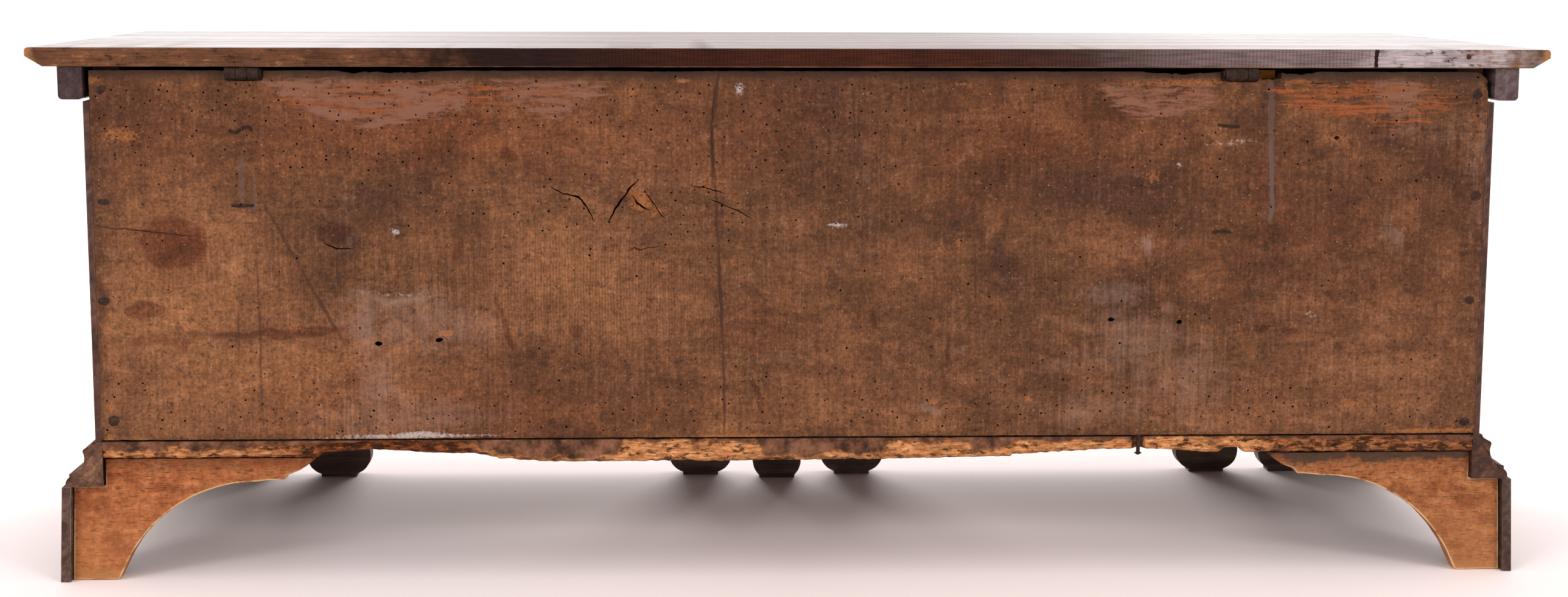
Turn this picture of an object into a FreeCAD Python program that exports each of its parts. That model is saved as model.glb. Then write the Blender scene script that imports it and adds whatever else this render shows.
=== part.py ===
"""Coffer chest: a nailed plank case on a moulded base with scroll-cut feet, under a hinged plank lid.

Millimetres. +Z is up, the front faces -Y, and the origin is on the floor under the middle of the chest.
Left and right are those of a person who faces the front, so right is +X.
"""

import FreeCAD
import Part
import Sketcher
import math
import os
from types import SimpleNamespace

SIZES = {
    # case of planks
    "case_length": 1519.0,
    "case_depth": 518.0,
    "end_height": 409.0,
    "end_thick": 28.0,
    "front_thick": 24.0,
    "back_thick": 22.0,
    "back_lift": 2.0,
    "facing_thick": 7.5,
    "bottom_thick": 20.0,
    "bottom_split": 217.0,
    "bottom_sag": 6.5,
    # base: plinth, rails and moulding
    "plinth_height": 107.0,
    "plinth_reach": 46.0,
    "plinth_splay": 4.5,
    "side_apron_thick": 11.0,
    "front_apron_thick": 26.0,
    "apron_arch_height": 62.0,
    "side_foot_width": 62.0,
    "side_arch_run": 130.0,
    "rail_height": 30.0,
    "rail_width": 20.0,
    "moulding_height": 50.5,
    "moulding_reach": 40.5,
    # lobes of the front apron
    "lobe_pad_width": 47.0,
    "lobe_neck_width": 58.0,
    "lobe_height": 52.0,
    "lobe_flare": 6.0,
    "pad_height": 4.0,
    "centre_lobe_x": 101.0,
    "corner_foot_width": 146.0,
    "inner_lobe_step": 84.0,
    "foot_block_width": 64.0,
    "foot_block_thick": 23.0,
    # rear brackets and corner blocks
    "bracket_length": 231.5,
    "bracket_thick": 22.0,
    "bracket_foot_inset": 12.0,
    "bracket_setback": 8.0,
    "bracket_gap": 0.5,
    "block_width": 38.0,
    "block_floor_gap": 4.0,
    # lid
    "lid_end_overhang": 65.5,
    "lid_front_overhang": 64.0,
    "lid_rear_overhang": 6.0,
    "lid_thick": 20.5,
    "lid_gap": 0.5,
    "nose_radius": 4.0,
    "nose_height": 9.5,
    "bevel_width": 18.5,
    "cleat_width": 26.5,
    "cleat_height": 35.5,
    "cleat_gap": 6.0,
    "cleat_clearance": 1.5,
    "cleat_round": 5.0,
    "cleat_rear_inset": 3.0,
    "cleat_front_inset": 30.0,
    # strap hinges
    "right_hinge_inset": 163.5,
    "left_hinge_inset": 275.0,
    "barrel_length": 36.6,
    "barrel_diameter": 13.6,
    "barrel_clearance": 0.3,
    "hinge_setback": 3.0,
    "knuckle_gap": 0.4,
    "pin_diameter": 6.0,
    "pin_fit": 0.05,
    "pin_head_diameter": 10.0,
    "pin_head_length": 2.3,
    "leaf_thick": 1.6,
    "leaf_gap": 0.3,
    "case_strap_drop": 190.0,
    "lid_strap_length": 210.0,
    "recess_clearance": 1.0,
    "broken_notch_width": 24.0,
    "broken_notch_depth": 10.0,
    "packing_thick": 8.0,
    "packing_height": 26.0,
    # nails
    "nail_fit": 0.1,
    "back_nail_head": 13.0,
    "back_nail_rise": 3.6,
    "back_nail_shank": 4.4,
    "back_nail_length": 62.0,
    "strap_nail_head": 9.0,
    "strap_nail_rise": 2.2,
    "strap_nail_shank": 3.2,
    "lid_nail_length": 15.0,
    "clench_length": 24.0,
    "bottom_nail_head": 9.0,
    "bottom_nail_rise": 3.0,
    "bottom_nail_shank": 5.0,
    "bottom_nail_length": 54.0,
    "bottom_nail_step": 88.0,
    "bare_nail_step": 146.0,
    "bare_nail_depth": 3.4,
    "cleat_nail_length": 44.0,
    "small_nail_head": 6.0,
    "small_nail_rise": 1.5,
    "small_nail_shank": 2.4,
    "small_nail_length": 16.0,
    "old_hole_width": 8.6,
    "old_hole_height": 5.0,
    "old_hole_depth": 17.0,
    # lock
    "lock_width": 110.0,
    "lock_height": 84.0,
    "lock_depth": 22.0,
    "lock_drop": 6.0,
    "lock_wall": 2.0,
    "lock_flange": 15.0,
    "bolt_size": 8.0,
    "bolt_length": 42.0,
    "bolt_fit": 0.2,
    "bolt_throw": 14.0,
    "bolt_drop": 23.0,
    "bolt_to_staple": 2.0,
    "staple_width": 6.0,
    "staple_depth": 13.0,
    "staple_hole": 9.0,
    "staple_tail": 7.5,
    "staple_plate_length": 50.0,
    "staple_plate_width": 20.0,
    "staple_plate_thick": 2.0,
    "slot_side_room": 2.0,
    "slot_end_room": 2.2,
    "keyhole_drop": 61.0,
    "keyhole_diameter": 9.0,
    "keyhole_slot": 5.0,
    "keyhole_length": 16.0,
    "escutcheon_width": 52.0,
    "escutcheon_height": 78.0,
    "escutcheon_thick": 1.6,
    # how far a cutting solid runs past what it cuts
    "overrun": 5.0,
}

# Base moulding from its inner foot: share of the reach, share of the height, bulge of the way there.
MOULDING_SHARES = [
    (0.0, 0.0, 0),
    (1.0, 0.0, 0),
    (0.91, 0.22, 0.35),
    (0.91, 0.285, 0),
    (0.88, 0.305, 0),
    (0.494, 0.655, -0.4),
    (0.51, 0.735, 0),
    (0.477, 0.85, 0.5),
    (0.393, 0.885, 0),
    (0.26, 1.0, -0.35),
    (0.0, 1.0, 0),
]

# Lower edge of a rear bracket from its tip to its foot: share of the length, share of the height, bulge.
BRACKET_SHARES = [
    (1.0, 1.0, 0),
    (0.86, 0.855, 0.13),
    (0.852, 0.82, 0),
    (0.717, 0.80, 0),
    (0.084, 0.113, -0.295),
]

# Worn lower edge of the rear bottom board: share of the half length from left (-1) to right (1), and share of
# the sag by which it hangs there. Below zero it is eaten away.
BOTTOM_EDGE_SHARES = [
    (-0.62, 0.0),
    (-0.53, -0.3),
    (-0.46, -0.2),
    (-0.33, 0.45),
    (-0.12, 0.85),
    (0.08, 1.0),
    (0.35, 1.0),
    (0.43, 0.45),
    (0.49, -0.45),
    (0.56, 0.0),
]

# Nails through the back: heights as shares of the back board, insets as shares of the end board's thickness.
BACK_NAIL_SHARES = {
    "right": [(0.054, 0.50), (0.381, 0.27), (0.648, 0.40), (0.947, 0.46)],
    "left": [(0.034, 0.39), (0.373, 0.40), (0.661, 0.32), (0.937, 0.42)],
}

# Clenched nails of each case strap: drop as a share of the strap, side step as a share of its width.
CLENCH_SHARES = {
    "right": [(0.342, -0.22), (0.77, -0.22)],
    "left": [(0.318, 0.0), (0.929, 0.16)],
}

# Old nail holes in the back: share of the half length, share of the board's height.
OLD_HOLE_SHARES = [(0.602, 0.262), (0.515, 0.272), (-0.458, 0.322), (-0.558, 0.314)]

# Places along a lid strap and along a cleat.
LID_NAIL_SHARES = (0.30, 0.60, 0.90)
CLEAT_NAIL_SHARES = (0.12, 0.5, 0.88)

# Lean of the bare nail in the bottom's eaten edge, in degrees.
BARE_NAIL_LEAN = 8

# Escutcheon, right half from the bottom: share of the width, share of the height, bulge.
ESCUTCHEON_SHARES = [
    (0.07, -0.5, 0),
    (0.5, -0.05, 0.22),
    (0.44, 0.40, 0),
    (0.5, 0.5, -0.25),
]

doc = FreeCAD.newDocument("CofferChest")
sheet = doc.addObject("Spreadsheet::Sheet", "Sizes")
for row, (alias, number) in enumerate(SIZES.items(), start=1):
    sheet.set(f"A{row}", alias)
    sheet.set(f"B{row}", str(number))
    sheet.setAlias(f"B{row}", alias)
doc.recompute()


class Size:
    """A length known twice: by its value and by the expression on the sheet that gives it."""

    def __init__(self, text, value):
        self.text = text
        self.value = value

    def _join(self, sign, other, value):
        text = other.text if isinstance(other, Size) else repr(other)
        return Size(f"({self.text} {sign} {text})", value)

    def __add__(self, other):
        return self._join("+", other, self.value + number_of(other))

    def __sub__(self, other):
        return self._join("-", other, self.value - number_of(other))

    def __mul__(self, other):
        return self._join("*", other, self.value * number_of(other))

    def __truediv__(self, other):
        return self._join("/", other, self.value / number_of(other))

    def __neg__(self):
        return self * -1

    def __rsub__(self, other):
        return -self + other

    __radd__ = __add__
    __rmul__ = __mul__


def number_of(length):
    return length.value if isinstance(length, Size) else length


def as_size(length):
    return length if isinstance(length, Size) else Size(repr(length), length)


def hypotenuse(a, b):
    squares = as_size(a) * a + as_size(b) * b
    return Size(f"sqrt({squares.text})", math.sqrt(squares.value))


def bind(thing, prop, length):
    """Tie one property to the sheet."""
    thing.setExpression(prop, as_size(length).text)


s = SimpleNamespace(**{name: Size(f"Sizes.{name}", value) for name, value in SIZES.items()})

# Main planes of the chest, all worked out from the driving sizes.
rear_reach = s.hinge_setback + s.barrel_diameter / 2
rear = (s.case_depth + s.lid_front_overhang - rear_reach) / 2
front = rear - s.case_depth
half_case = s.case_length / 2
lid_length = s.case_length + s.lid_end_overhang * 2
lid_depth = s.case_depth + s.lid_front_overhang + s.lid_rear_overhang
back_inner = rear - s.back_thick
front_inner = front + s.front_thick
bottom_under = s.plinth_height + s.rail_height
case_floor = bottom_under + s.bottom_thick
case_top = case_floor + s.end_height
lid_under = case_top + s.lid_gap
lid_rear = rear + s.lid_rear_overhang
lid_front = front - s.lid_front_overhang
cleat_under = lid_under - s.cleat_height
back_low = case_floor + s.back_lift
back_top = lid_under - s.leaf_thick * 2 - s.leaf_gap
moulding_top = s.plinth_height + s.moulding_height
bracket_tip = half_case - s.bracket_length
apron_front = front - s.plinth_reach
apron_rear = apron_front + s.front_apron_thick
barrel_radius = s.barrel_diameter / 2
axis_y = rear + s.hinge_setback
axis_z = lid_under - s.barrel_clearance - barrel_radius
bare_nail_x = s.bare_nail_step - bracket_tip
HANDS = {"left": -1, "right": 1}
HINGE_X = {"left": s.left_hinge_inset - half_case, "right": half_case - s.right_hinge_inset}
TURNS = {
    "+X": FreeCAD.Rotation(FreeCAD.Vector(0, 1, 0), 90),
    "-Y": FreeCAD.Rotation(FreeCAD.Vector(1, 0, 0), 90),
    "+Y": FreeCAD.Rotation(FreeCAD.Vector(1, 0, 0), -90),
    "+Z": FreeCAD.Rotation(),
    "-Z": FreeCAD.Rotation(FreeCAD.Vector(1, 0, 0), 180),
}
OPPOSITE = {"-Y": "+Y", "+Y": "-Y", "+Z": "-Z", "-Z": "+Z"}

sub_parts = []


def keep(thing, node):
    """Count a finished solid as a sub-part of the chest."""
    thing.Label = node
    sub_parts.append(thing)
    return thing


def put(thing, x, y, z):
    for axis, length in zip("xyz", (x, y, z)):
        bind(thing, f"Placement.Base.{axis}", length)
    return thing


def box(name, x, y, z):
    """A block between two planes on each axis, each pair given from low to high."""
    block = doc.addObject("Part::Box", name)
    for prop, (low, high) in zip(("Length", "Width", "Height"), (x, y, z)):
        bind(block, prop, high - low)
    return put(block, x[0], y[0], z[0])


def rod(name, along, place, radius, length):
    bar = doc.addObject("Part::Cylinder", name)
    bar.Placement.Rotation = TURNS[along]
    bind(bar, "Radius", radius)
    bind(bar, "Height", length)
    return put(bar, *place)


def dome(name, along, place, base_radius, top_radius, rise):
    head = doc.addObject("Part::Cone", name)
    head.Placement.Rotation = TURNS[along]
    bind(head, "Radius1", base_radius)
    bind(head, "Radius2", top_radius)
    bind(head, "Height", rise)
    return put(head, *place)


def fuse(name, shapes):
    union = doc.addObject("Part::MultiFuse", name)
    union.Shapes = shapes
    return union


def cut(name, base, tools):
    result = doc.addObject("Part::Cut", name)
    result.Base = base
    result.Tool = tools[0] if len(tools) == 1 else fuse(f"{name}_cuts", tools)
    return result


def common(name, shape, other):
    overlap = doc.addObject("Part::MultiCommon", name)
    overlap.Shapes = [shape, other]
    return overlap


def group(name, solids):
    bundle = doc.addObject("Part::Compound", name)
    bundle.Links = solids
    return bundle


def arc_between(start, end, bulge):
    """The arc from start to end whose rise is bulge times half its chord, positive when it turns left."""
    chord = end - start
    half = chord.Length / 2
    rise = abs(bulge) * half
    radius = (half * half + rise * rise) / (2 * rise)
    side = FreeCAD.Vector(-chord.y, chord.x, 0).normalize() * math.copysign(1, bulge)
    centre = (start + end) / 2 + side * (radius - rise)
    first, last = (start, end) if bulge > 0 else (end, start)
    angles = [math.atan2(p.y - centre.y, p.x - centre.x) for p in (first, last)]
    if angles[1] < angles[0]:
        angles[1] += 2 * math.pi
    return Part.ArcOfCircle(Part.Circle(centre, FreeCAD.Vector(0, 0, 1), radius), *angles)


def outline(body, plane, corners):
    """Draw a closed outline of (across, up, bulge of the way there) and tie each corner to the sheet."""
    sketch = body.newObject("Sketcher::SketchObject", f"{body.Name}_outline")
    support = next(item for item in body.Origin.OriginFeatures if item.Role == plane)
    sketch.AttachmentSupport = [(support, "")]
    sketch.MapMode = "FlatFace"
    points = [FreeCAD.Vector(number_of(x), number_of(y), 0) for x, y, _ in corners]
    count = len(corners)
    for index in range(count):
        after = (index + 1) % count
        bulge = corners[after][2]
        if bulge:
            sketch.addGeometry(arc_between(points[index], points[after], bulge), False)
        else:
            sketch.addGeometry(Part.LineSegment(points[index], points[after]), False)
    turned = [corners[(index + 1) % count][2] < 0 for index in range(count)]
    begins = [2 if back else 1 for back in turned]
    ends = [1 if back else 2 for back in turned]
    for index in range(count):
        after = (index + 1) % count
        sketch.addConstraint(
            Sketcher.Constraint("Coincident", index, ends[index], after, begins[after])
        )
    for index, (x, y, _) in enumerate(corners):
        for kind, letter, length in (("DistanceX", "across", x), ("DistanceY", "up", y)):
            number = sketch.addConstraint(
                Sketcher.Constraint(kind, -1, 1, index, begins[index], number_of(length))
            )
            sketch.renameConstraint(number, f"{letter}_{index}")
            bind(sketch, f"Constraints.{letter}_{index}", length)
    for index in range(count):
        after = (index + 1) % count
        bulge = corners[after][2]
        if bulge:
            run = hypotenuse(
                corners[after][0] - corners[index][0], corners[after][1] - corners[index][1]
            )
            radius = run * ((1 + bulge * bulge) / (4 * abs(bulge)))
            number = sketch.addConstraint(Sketcher.Constraint("Radius", index, radius.value))
            sketch.renameConstraint(number, f"round_{index}")
            bind(sketch, f"Constraints.round_{index}", radius)
    return sketch


def extrude(name, plane, corners, length, place):
    """A solid of one outline. XZ outlines run from their place towards -Y, YZ outlines towards +X."""
    body = doc.addObject("PartDesign::Body", name)
    sketch = outline(body, plane, corners)
    pad = body.newObject("PartDesign::Pad", f"{name}_pad")
    pad.Profile = sketch
    bind(pad, "Length", length)
    return put(body, *place)


def nail(name, drive, place, head, rise, shank, length):
    """A hand-made nail whose head sits on a face, and the hole that its shank goes down."""
    radius = shank / 2
    rose = dome(f"{name}_head", OPPOSITE[drive], place, head / 2, radius, rise)
    stem = rod(f"{name}_shank", drive, place, radius, length)
    hole = rod(f"{name}_hole", drive, place, radius + s.nail_fit, length + s.nail_fit)
    return fuse(name, [rose, stem]), hole


def mirrored(right_half):
    """Close an outline whose left half mirrors its right half."""
    left_half = []
    for corner, after in zip(reversed(right_half[:-1]), reversed(right_half[1:])):
        left_half.append((-corner[0], corner[1], after[2]))
    last = right_half[-1]
    return right_half + [(-last[0], last[1], 0)] + left_half


# Nails and the holes that they go down.


def back_nails():
    """Eight rose-headed nails hold the back board to the two ends."""
    nails, holes = [], {}
    for side, places in BACK_NAIL_SHARES.items():
        holes[side] = []
        for index, (height_share, inset_share) in enumerate(places):
            x = (half_case - s.end_thick * inset_share) * HANDS[side]
            z = back_low + (back_top - back_low) * height_share
            made, hole = nail(
                f"back_nail_{side}_{index}", "-Y", (x, rear, z),
                s.back_nail_head, s.back_nail_rise, s.back_nail_shank, s.back_nail_length,
            )
            nails.append(made)
            holes[side].append(hole)
    keep(group("back_board_nails", nails), "back_board_nails")
    return holes


def clenched_nails():
    """Nails from the inside through each case strap, their points bent over on the back."""
    nails, holes = [], {}
    through = s.leaf_thick + s.back_thick + s.strap_nail_shank
    for side, places in CLENCH_SHARES.items():
        holes[side] = []
        for index, (drop_share, step_share) in enumerate(places):
            name = f"clenched_nail_{side}_{index}"
            x = HINGE_X[side] + s.barrel_length * step_share
            z = back_top - s.case_strap_drop * drop_share
            made, hole = nail(
                name, "+Y", (x, back_inner - s.leaf_thick, z),
                s.strap_nail_head, s.strap_nail_rise, s.strap_nail_shank, through,
            )
            half = s.strap_nail_shank / 2
            point = box(
                f"{name}_point", (x - half, x + s.clench_length),
                (rear, rear + s.strap_nail_shank), (z - half, z + half),
            )
            nails.append(fuse(f"{name}_bent", [made, point]))
            holes[side].append(hole)
    keep(group("case_hinge_nails", nails), "case_hinge_nails")
    return holes


def lid_nails():
    """Short nails hold each lid strap to the lid from below."""
    nails, holes = [], {}
    for side, x in HINGE_X.items():
        holes[side] = []
        for index, share in enumerate(LID_NAIL_SHARES):
            made, hole = nail(
                f"lid_nail_{side}_{index}", "+Z",
                (x, axis_y - s.lid_strap_length * share, lid_under - s.leaf_thick),
                s.strap_nail_head, s.strap_nail_rise, s.strap_nail_shank, s.lid_nail_length,
            )
            nails.append(made)
            holes[side].append(hole)
    keep(group("lid_hinge_nails", nails), "lid_hinge_nails")
    return holes


def cleat_nails():
    """Three nails go up through each cleat into the lid."""
    nails, holes = [], {}
    middle = half_case + s.cleat_gap + s.cleat_width / 2
    run = lid_depth - s.cleat_rear_inset - s.cleat_front_inset
    for side, hand in HANDS.items():
        holes[side] = []
        for index, share in enumerate(CLEAT_NAIL_SHARES):
            made, hole = nail(
                f"cleat_nail_{side}_{index}", "+Z",
                (middle * hand, lid_rear - s.cleat_rear_inset - run * share, cleat_under),
                s.strap_nail_head, s.strap_nail_rise, s.strap_nail_shank, s.cleat_nail_length,
            )
            nails.append(made)
            holes[side].append(hole)
    keep(group("cleat_nails", nails), "cleat_nails")
    return holes


def bottom_nails():
    """Nails go up through the rear bottom board into the back; one leans and stands bare in the eaten edge."""
    nails, holes = [], []
    for side, hand in HANDS.items():
        made, hole = nail(
            f"bottom_nail_{side}", "+Z",
            ((bracket_tip - s.bottom_nail_step) * hand, rear - s.back_thick / 2, bottom_under),
            s.bottom_nail_head, s.bottom_nail_rise, s.bottom_nail_shank, s.bottom_nail_length,
        )
        nails.append(made)
        holes.append(hole)
    place = (bare_nail_x, rear - s.bare_nail_depth, bottom_under)
    radius = s.bottom_nail_shank / 2
    head = dome("bare_nail_head", "-Z", place, s.bottom_nail_head / 2, radius, s.bottom_nail_rise)
    shank = rod("bare_nail_shank", "+Z", place, radius, s.bottom_nail_length)
    hole = rod(
        "bare_nail_hole", "+Z", place, radius + s.nail_fit, s.bottom_nail_length + s.nail_fit
    )
    for leaning in (shank, hole):
        leaning.Placement.Rotation = FreeCAD.Rotation(FreeCAD.Vector(1, 0, 0), BARE_NAIL_LEAN)
    nails.append(fuse("bare_nail", [head, shank]))
    holes.append(hole)
    keep(group("bottom_nails", nails), "bottom_nails")
    return holes


# Case of planks, with its facings.


def back_board(nail_holes, clench_holes, up_holes):
    """One plank, let out for the hinge barrels and broken away beside the left one."""
    plank = box("back_plank", (-half_case, half_case), (back_inner, rear), (back_low, back_top))
    tools = nail_holes["left"] + nail_holes["right"] + clench_holes["left"] + clench_holes["right"]
    tools += up_holes
    side_room = s.barrel_length / 2 + s.pin_head_length + s.recess_clearance
    recess_depth = barrel_radius - s.hinge_setback + s.recess_clearance
    recess_low = axis_z - barrel_radius - s.recess_clearance
    for side, x in HINGE_X.items():
        tools.append(
            box(
                f"barrel_recess_{side}", (x - side_room, x + side_room),
                (rear - recess_depth, rear + s.overrun), (recess_low, back_top + s.overrun),
            )
        )
    notch_start = HINGE_X["left"] - s.barrel_length / 2
    tools.append(
        box(
            "broken_notch", (notch_start - s.broken_notch_width, notch_start),
            (back_inner - s.overrun, rear + s.overrun),
            (back_top - s.broken_notch_depth, back_top + s.overrun),
        )
    )
    for index, (across_share, height_share) in enumerate(OLD_HOLE_SHARES):
        x = half_case * across_share
        z = back_low + (back_top - back_low) * height_share
        tools.append(
            box(
                f"old_nail_hole_{index}", (x - s.old_hole_width / 2, x + s.old_hole_width / 2),
                (rear - s.old_hole_depth, rear + s.overrun),
                (z - s.old_hole_height / 2, z + s.old_hole_height / 2),
            )
        )
    keep(cut("back_board", plank, tools), "back_board")


def hinge_packing():
    """A slip of pale wood inside the back, behind the broken notch."""
    start = HINGE_X["left"] - s.barrel_length / 2 - s.recess_clearance
    low = back_top - s.packing_height
    slip = box(
        "hinge_packing", (start - s.broken_notch_width, start),
        (back_inner - s.packing_thick, back_inner), (low, back_top),
    )
    keep(slip, "hinge_packing")


def end_boards(nail_holes):
    for side, hand in HANDS.items():
        edges = sorted((half_case * hand, (half_case - s.end_thick) * hand), key=number_of)
        plank = box(f"{side}_end_plank", edges, (front_inner, back_inner), (case_floor, case_top))
        keep(cut(f"{side}_end_board", plank, nail_holes[side]), f"{side}_end_board")


def end_facings():
    for side, hand in HANDS.items():
        edges = sorted((half_case * hand, (half_case + s.facing_thick) * hand), key=number_of)
        top = cleat_under - s.cleat_clearance
        run = (front - s.facing_thick, rear)
        keep(box(f"{side}_end_facing", edges, run, (moulding_top, top)), f"{side}_end_facing")


def front_boards(keyhole, lock_holes, plate_holes):
    """The front plank and the thin facing on it, both cut for the keyhole."""
    plank = box("front_plank", (-half_case, half_case), (front, front_inner), (case_floor, case_top))
    keep(cut("front_board", plank, keyhole + lock_holes + plate_holes), "front_board")
    skin = box(
        "front_skin", (-half_case, half_case), (front - s.facing_thick, front), (moulding_top, case_top)
    )
    keep(cut("front_facing", skin, keyhole + plate_holes), "front_facing")


def bottom_boards(up_holes):
    """Two planks nailed up under the case; the rear one is worm-eaten along its lower edge and sags."""
    corners = [(-half_case, bottom_under, 0)]
    for across_share, sag_share in BOTTOM_EDGE_SHARES:
        corners.append((half_case * across_share, bottom_under - s.bottom_sag * sag_share, 0))
    corners += [(half_case, bottom_under, 0), (half_case, case_floor, 0), (-half_case, case_floor, 0)]
    plank = extrude(
        "rear_bottom_plank", "XZ_Plane", corners, s.case_depth - s.bottom_split, (0, rear, 0)
    )
    channel = box(
        "bare_nail_channel",
        (bare_nail_x - s.bottom_nail_shank, bare_nail_x + s.bottom_nail_shank),
        (rear - s.bare_nail_depth, rear + s.overrun),
        (bottom_under - s.overrun, case_floor + s.overrun),
    )
    keep(cut("rear_bottom_board", plank, up_holes + [channel]), "rear_bottom_board")
    keep(
        box(
            "front_bottom_board", (-half_case, half_case), (front, front + s.bottom_split),
            (bottom_under, case_floor),
        ),
        "front_bottom_board",
    )


# Base: mouldings mitred at the front corners, rails behind them, and the plinth.

QUARTER_ROUND_SHARE = math.tan(math.pi / 8)
MITRE_SHARE = math.sqrt(0.5)
MITRE_TURN = 45


def mitre_tool(side):
    """The space behind the mitre at one front corner of the base."""
    hand = HANDS[side]
    tool = doc.addObject("Part::Box", f"{side}_mitre")
    tool.Placement.Rotation = FreeCAD.Rotation(FreeCAD.Vector(0, 0, 1), -MITRE_TURN * hand)
    for prop in ("Length", "Width"):
        bind(tool, prop, s.case_depth * 2)
    bind(tool, "Height", s.moulding_height + s.overrun * 2)
    step = s.case_depth * MITRE_SHARE
    return put(tool, half_case * hand - step, front + step * hand, s.plinth_height - s.overrun)


def base_mouldings():
    tools = {side: mitre_tool(side) for side in HANDS}
    for side, hand in HANDS.items():
        corners = [
            (
                (half_case + s.moulding_reach * out_share) * hand,
                s.plinth_height + s.moulding_height * up_share,
                bulge * hand,
            )
            for out_share, up_share, bulge in MOULDING_SHARES
        ]
        run = extrude(
            f"{side}_moulding_run", "XZ_Plane", corners, s.case_depth + s.moulding_reach, (0, rear, 0)
        )
        node = f"{side}_base_moulding"
        keep(common(node, run, tools[side]), node)
    corners = [
        (
            front - s.moulding_reach * out_share,
            s.plinth_height + s.moulding_height * up_share,
            -bulge,
        )
        for out_share, up_share, bulge in MOULDING_SHARES
    ]
    wide = half_case + s.moulding_reach
    run = extrude("front_moulding_run", "YZ_Plane", corners, wide * 2, (-wide, 0, 0))
    keep(cut("front_base_moulding", run, list(tools.values())), "front_base_moulding")


def base_rails():
    """Rails under the bottom boards that the mouldings are fixed to."""
    heights = (s.plinth_height, bottom_under)
    keep(
        box("front_base_rail", (-half_case, half_case), (front, front + s.rail_width), heights),
        "front_base_rail",
    )
    for side, hand in HANDS.items():
        edges = sorted((half_case * hand, (half_case - s.rail_width) * hand), key=number_of)
        run = (front + s.rail_width, rear - s.bracket_setback - s.bracket_thick)
        keep(box(f"{side}_base_rail", edges, run, heights), f"{side}_base_rail")


LOBE_BULGE_SHARE = 0.66
CORNER_BULGE_SHARE = 0.6
SHOULDER_BULGE_SHARE = 0.2
ARCH_BULGE_SHARE = 0.35


def lobe(middle):
    """One bun-shaped foot on the front apron's lower edge, from left to right."""
    neck, pad = s.lobe_neck_width / 2, s.lobe_pad_width / 2
    return [
        (middle - neck - s.lobe_flare, s.apron_arch_height, 0),
        (middle - neck, s.lobe_height, 0),
        (middle - pad, s.pad_height, LOBE_BULGE_SHARE),
        (middle - pad, 0, 0),
        (middle + pad, 0, 0),
        (middle + pad, s.pad_height, 0),
        (middle + neck, s.lobe_height, LOBE_BULGE_SHARE),
        (middle + neck + s.lobe_flare, s.apron_arch_height, 0),
    ]


def front_apron():
    """The front of the plinth, scroll-cut into a row of feet."""
    floor_half = half_case + s.plinth_reach + s.plinth_splay
    corner = floor_half - s.corner_foot_width
    right_half = lobe(s.centre_lobe_x) + lobe(corner - s.inner_lobe_step)
    right_half += [
        (corner - s.lobe_flare, s.apron_arch_height, 0),
        (corner, s.lobe_height, 0),
        (corner, s.pad_height, CORNER_BULGE_SHARE),
        (corner, 0, 0),
        (floor_half, 0, 0),
        (half_case + s.plinth_reach, s.plinth_height, 0),
    ]
    keep(
        extrude("front_apron", "XZ_Plane", mirrored(right_half), s.front_apron_thick, (0, apron_rear, 0)),
        "front_apron",
    )


def side_aprons():
    """Thin boards that splay outwards to the floor, arched between the feet."""
    foot, run, arch = s.side_foot_width, s.side_arch_run, s.apron_arch_height
    profile = [
        (apron_rear, 0, 0),
        (apron_rear + foot, 0, 0),
        (apron_rear + foot + run, arch, -ARCH_BULGE_SHARE),
        (rear - foot - run, arch, 0),
        (rear - foot, 0, -ARCH_BULGE_SHARE),
        (rear, 0, 0),
        (rear, s.plinth_height, 0),
        (apron_rear, s.plinth_height, 0),
    ]
    inner = half_case + s.plinth_reach - s.side_apron_thick
    outer = half_case + s.plinth_reach
    for side, hand in HANDS.items():
        low = inner if hand > 0 else -outer - s.plinth_splay
        arched = extrude(
            f"{side}_apron_arch", "YZ_Plane", profile, s.side_apron_thick + s.plinth_splay, (low, 0, 0)
        )
        section = [
            ((inner + s.plinth_splay) * hand, 0, 0),
            ((outer + s.plinth_splay) * hand, 0, 0),
            (outer * hand, s.plinth_height, 0),
            (inner * hand, s.plinth_height, 0),
        ]
        leaning = extrude(f"{side}_apron_lean", "XZ_Plane", section, rear - apron_rear, (0, rear, 0))
        keep(common(f"{side}_side_apron", arched, leaning), f"{side}_side_apron")


def rear_brackets():
    """Scroll-cut brackets, set back a little from the ends of the mouldings and side aprons."""
    shoulder = half_case + s.plinth_reach - s.side_apron_thick - s.bracket_gap
    foot = half_case - s.bracket_foot_inset
    for side, hand in HANDS.items():
        corners = [
            (foot * hand, 0, 0),
            ((shoulder + s.plinth_splay) * hand, 0, 0),
            (shoulder * hand, s.plinth_height, 0),
            (half_case * hand, s.plinth_height, 0),
            (half_case * hand, bottom_under, 0),
        ]
        for length_share, height_share, bulge in BRACKET_SHARES:
            corners.append(
                (
                    (half_case - s.bracket_length * length_share) * hand,
                    bottom_under * height_share,
                    bulge * hand,
                )
            )
        node = f"{side}_rear_bracket"
        place = (0, rear - s.bracket_setback, 0)
        keep(extrude(node, "XZ_Plane", corners, s.bracket_thick, place), node)


def corner_blocks():
    """Glue blocks inside the four corners of the plinth."""
    outer = half_case + s.plinth_reach - s.side_apron_thick
    rear_face = rear - s.bracket_setback - s.bracket_thick
    runs = {
        "rear": (rear_face - s.block_width, rear_face),
        "front": (apron_rear, apron_rear + s.block_width),
    }
    for end, run in runs.items():
        for side, hand in HANDS.items():
            edges = sorted((outer * hand, (outer - s.block_width) * hand), key=number_of)
            node = f"{end}_{side}_corner_block"
            keep(box(node, edges, run, (s.block_floor_gap, s.plinth_height)), node)


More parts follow.
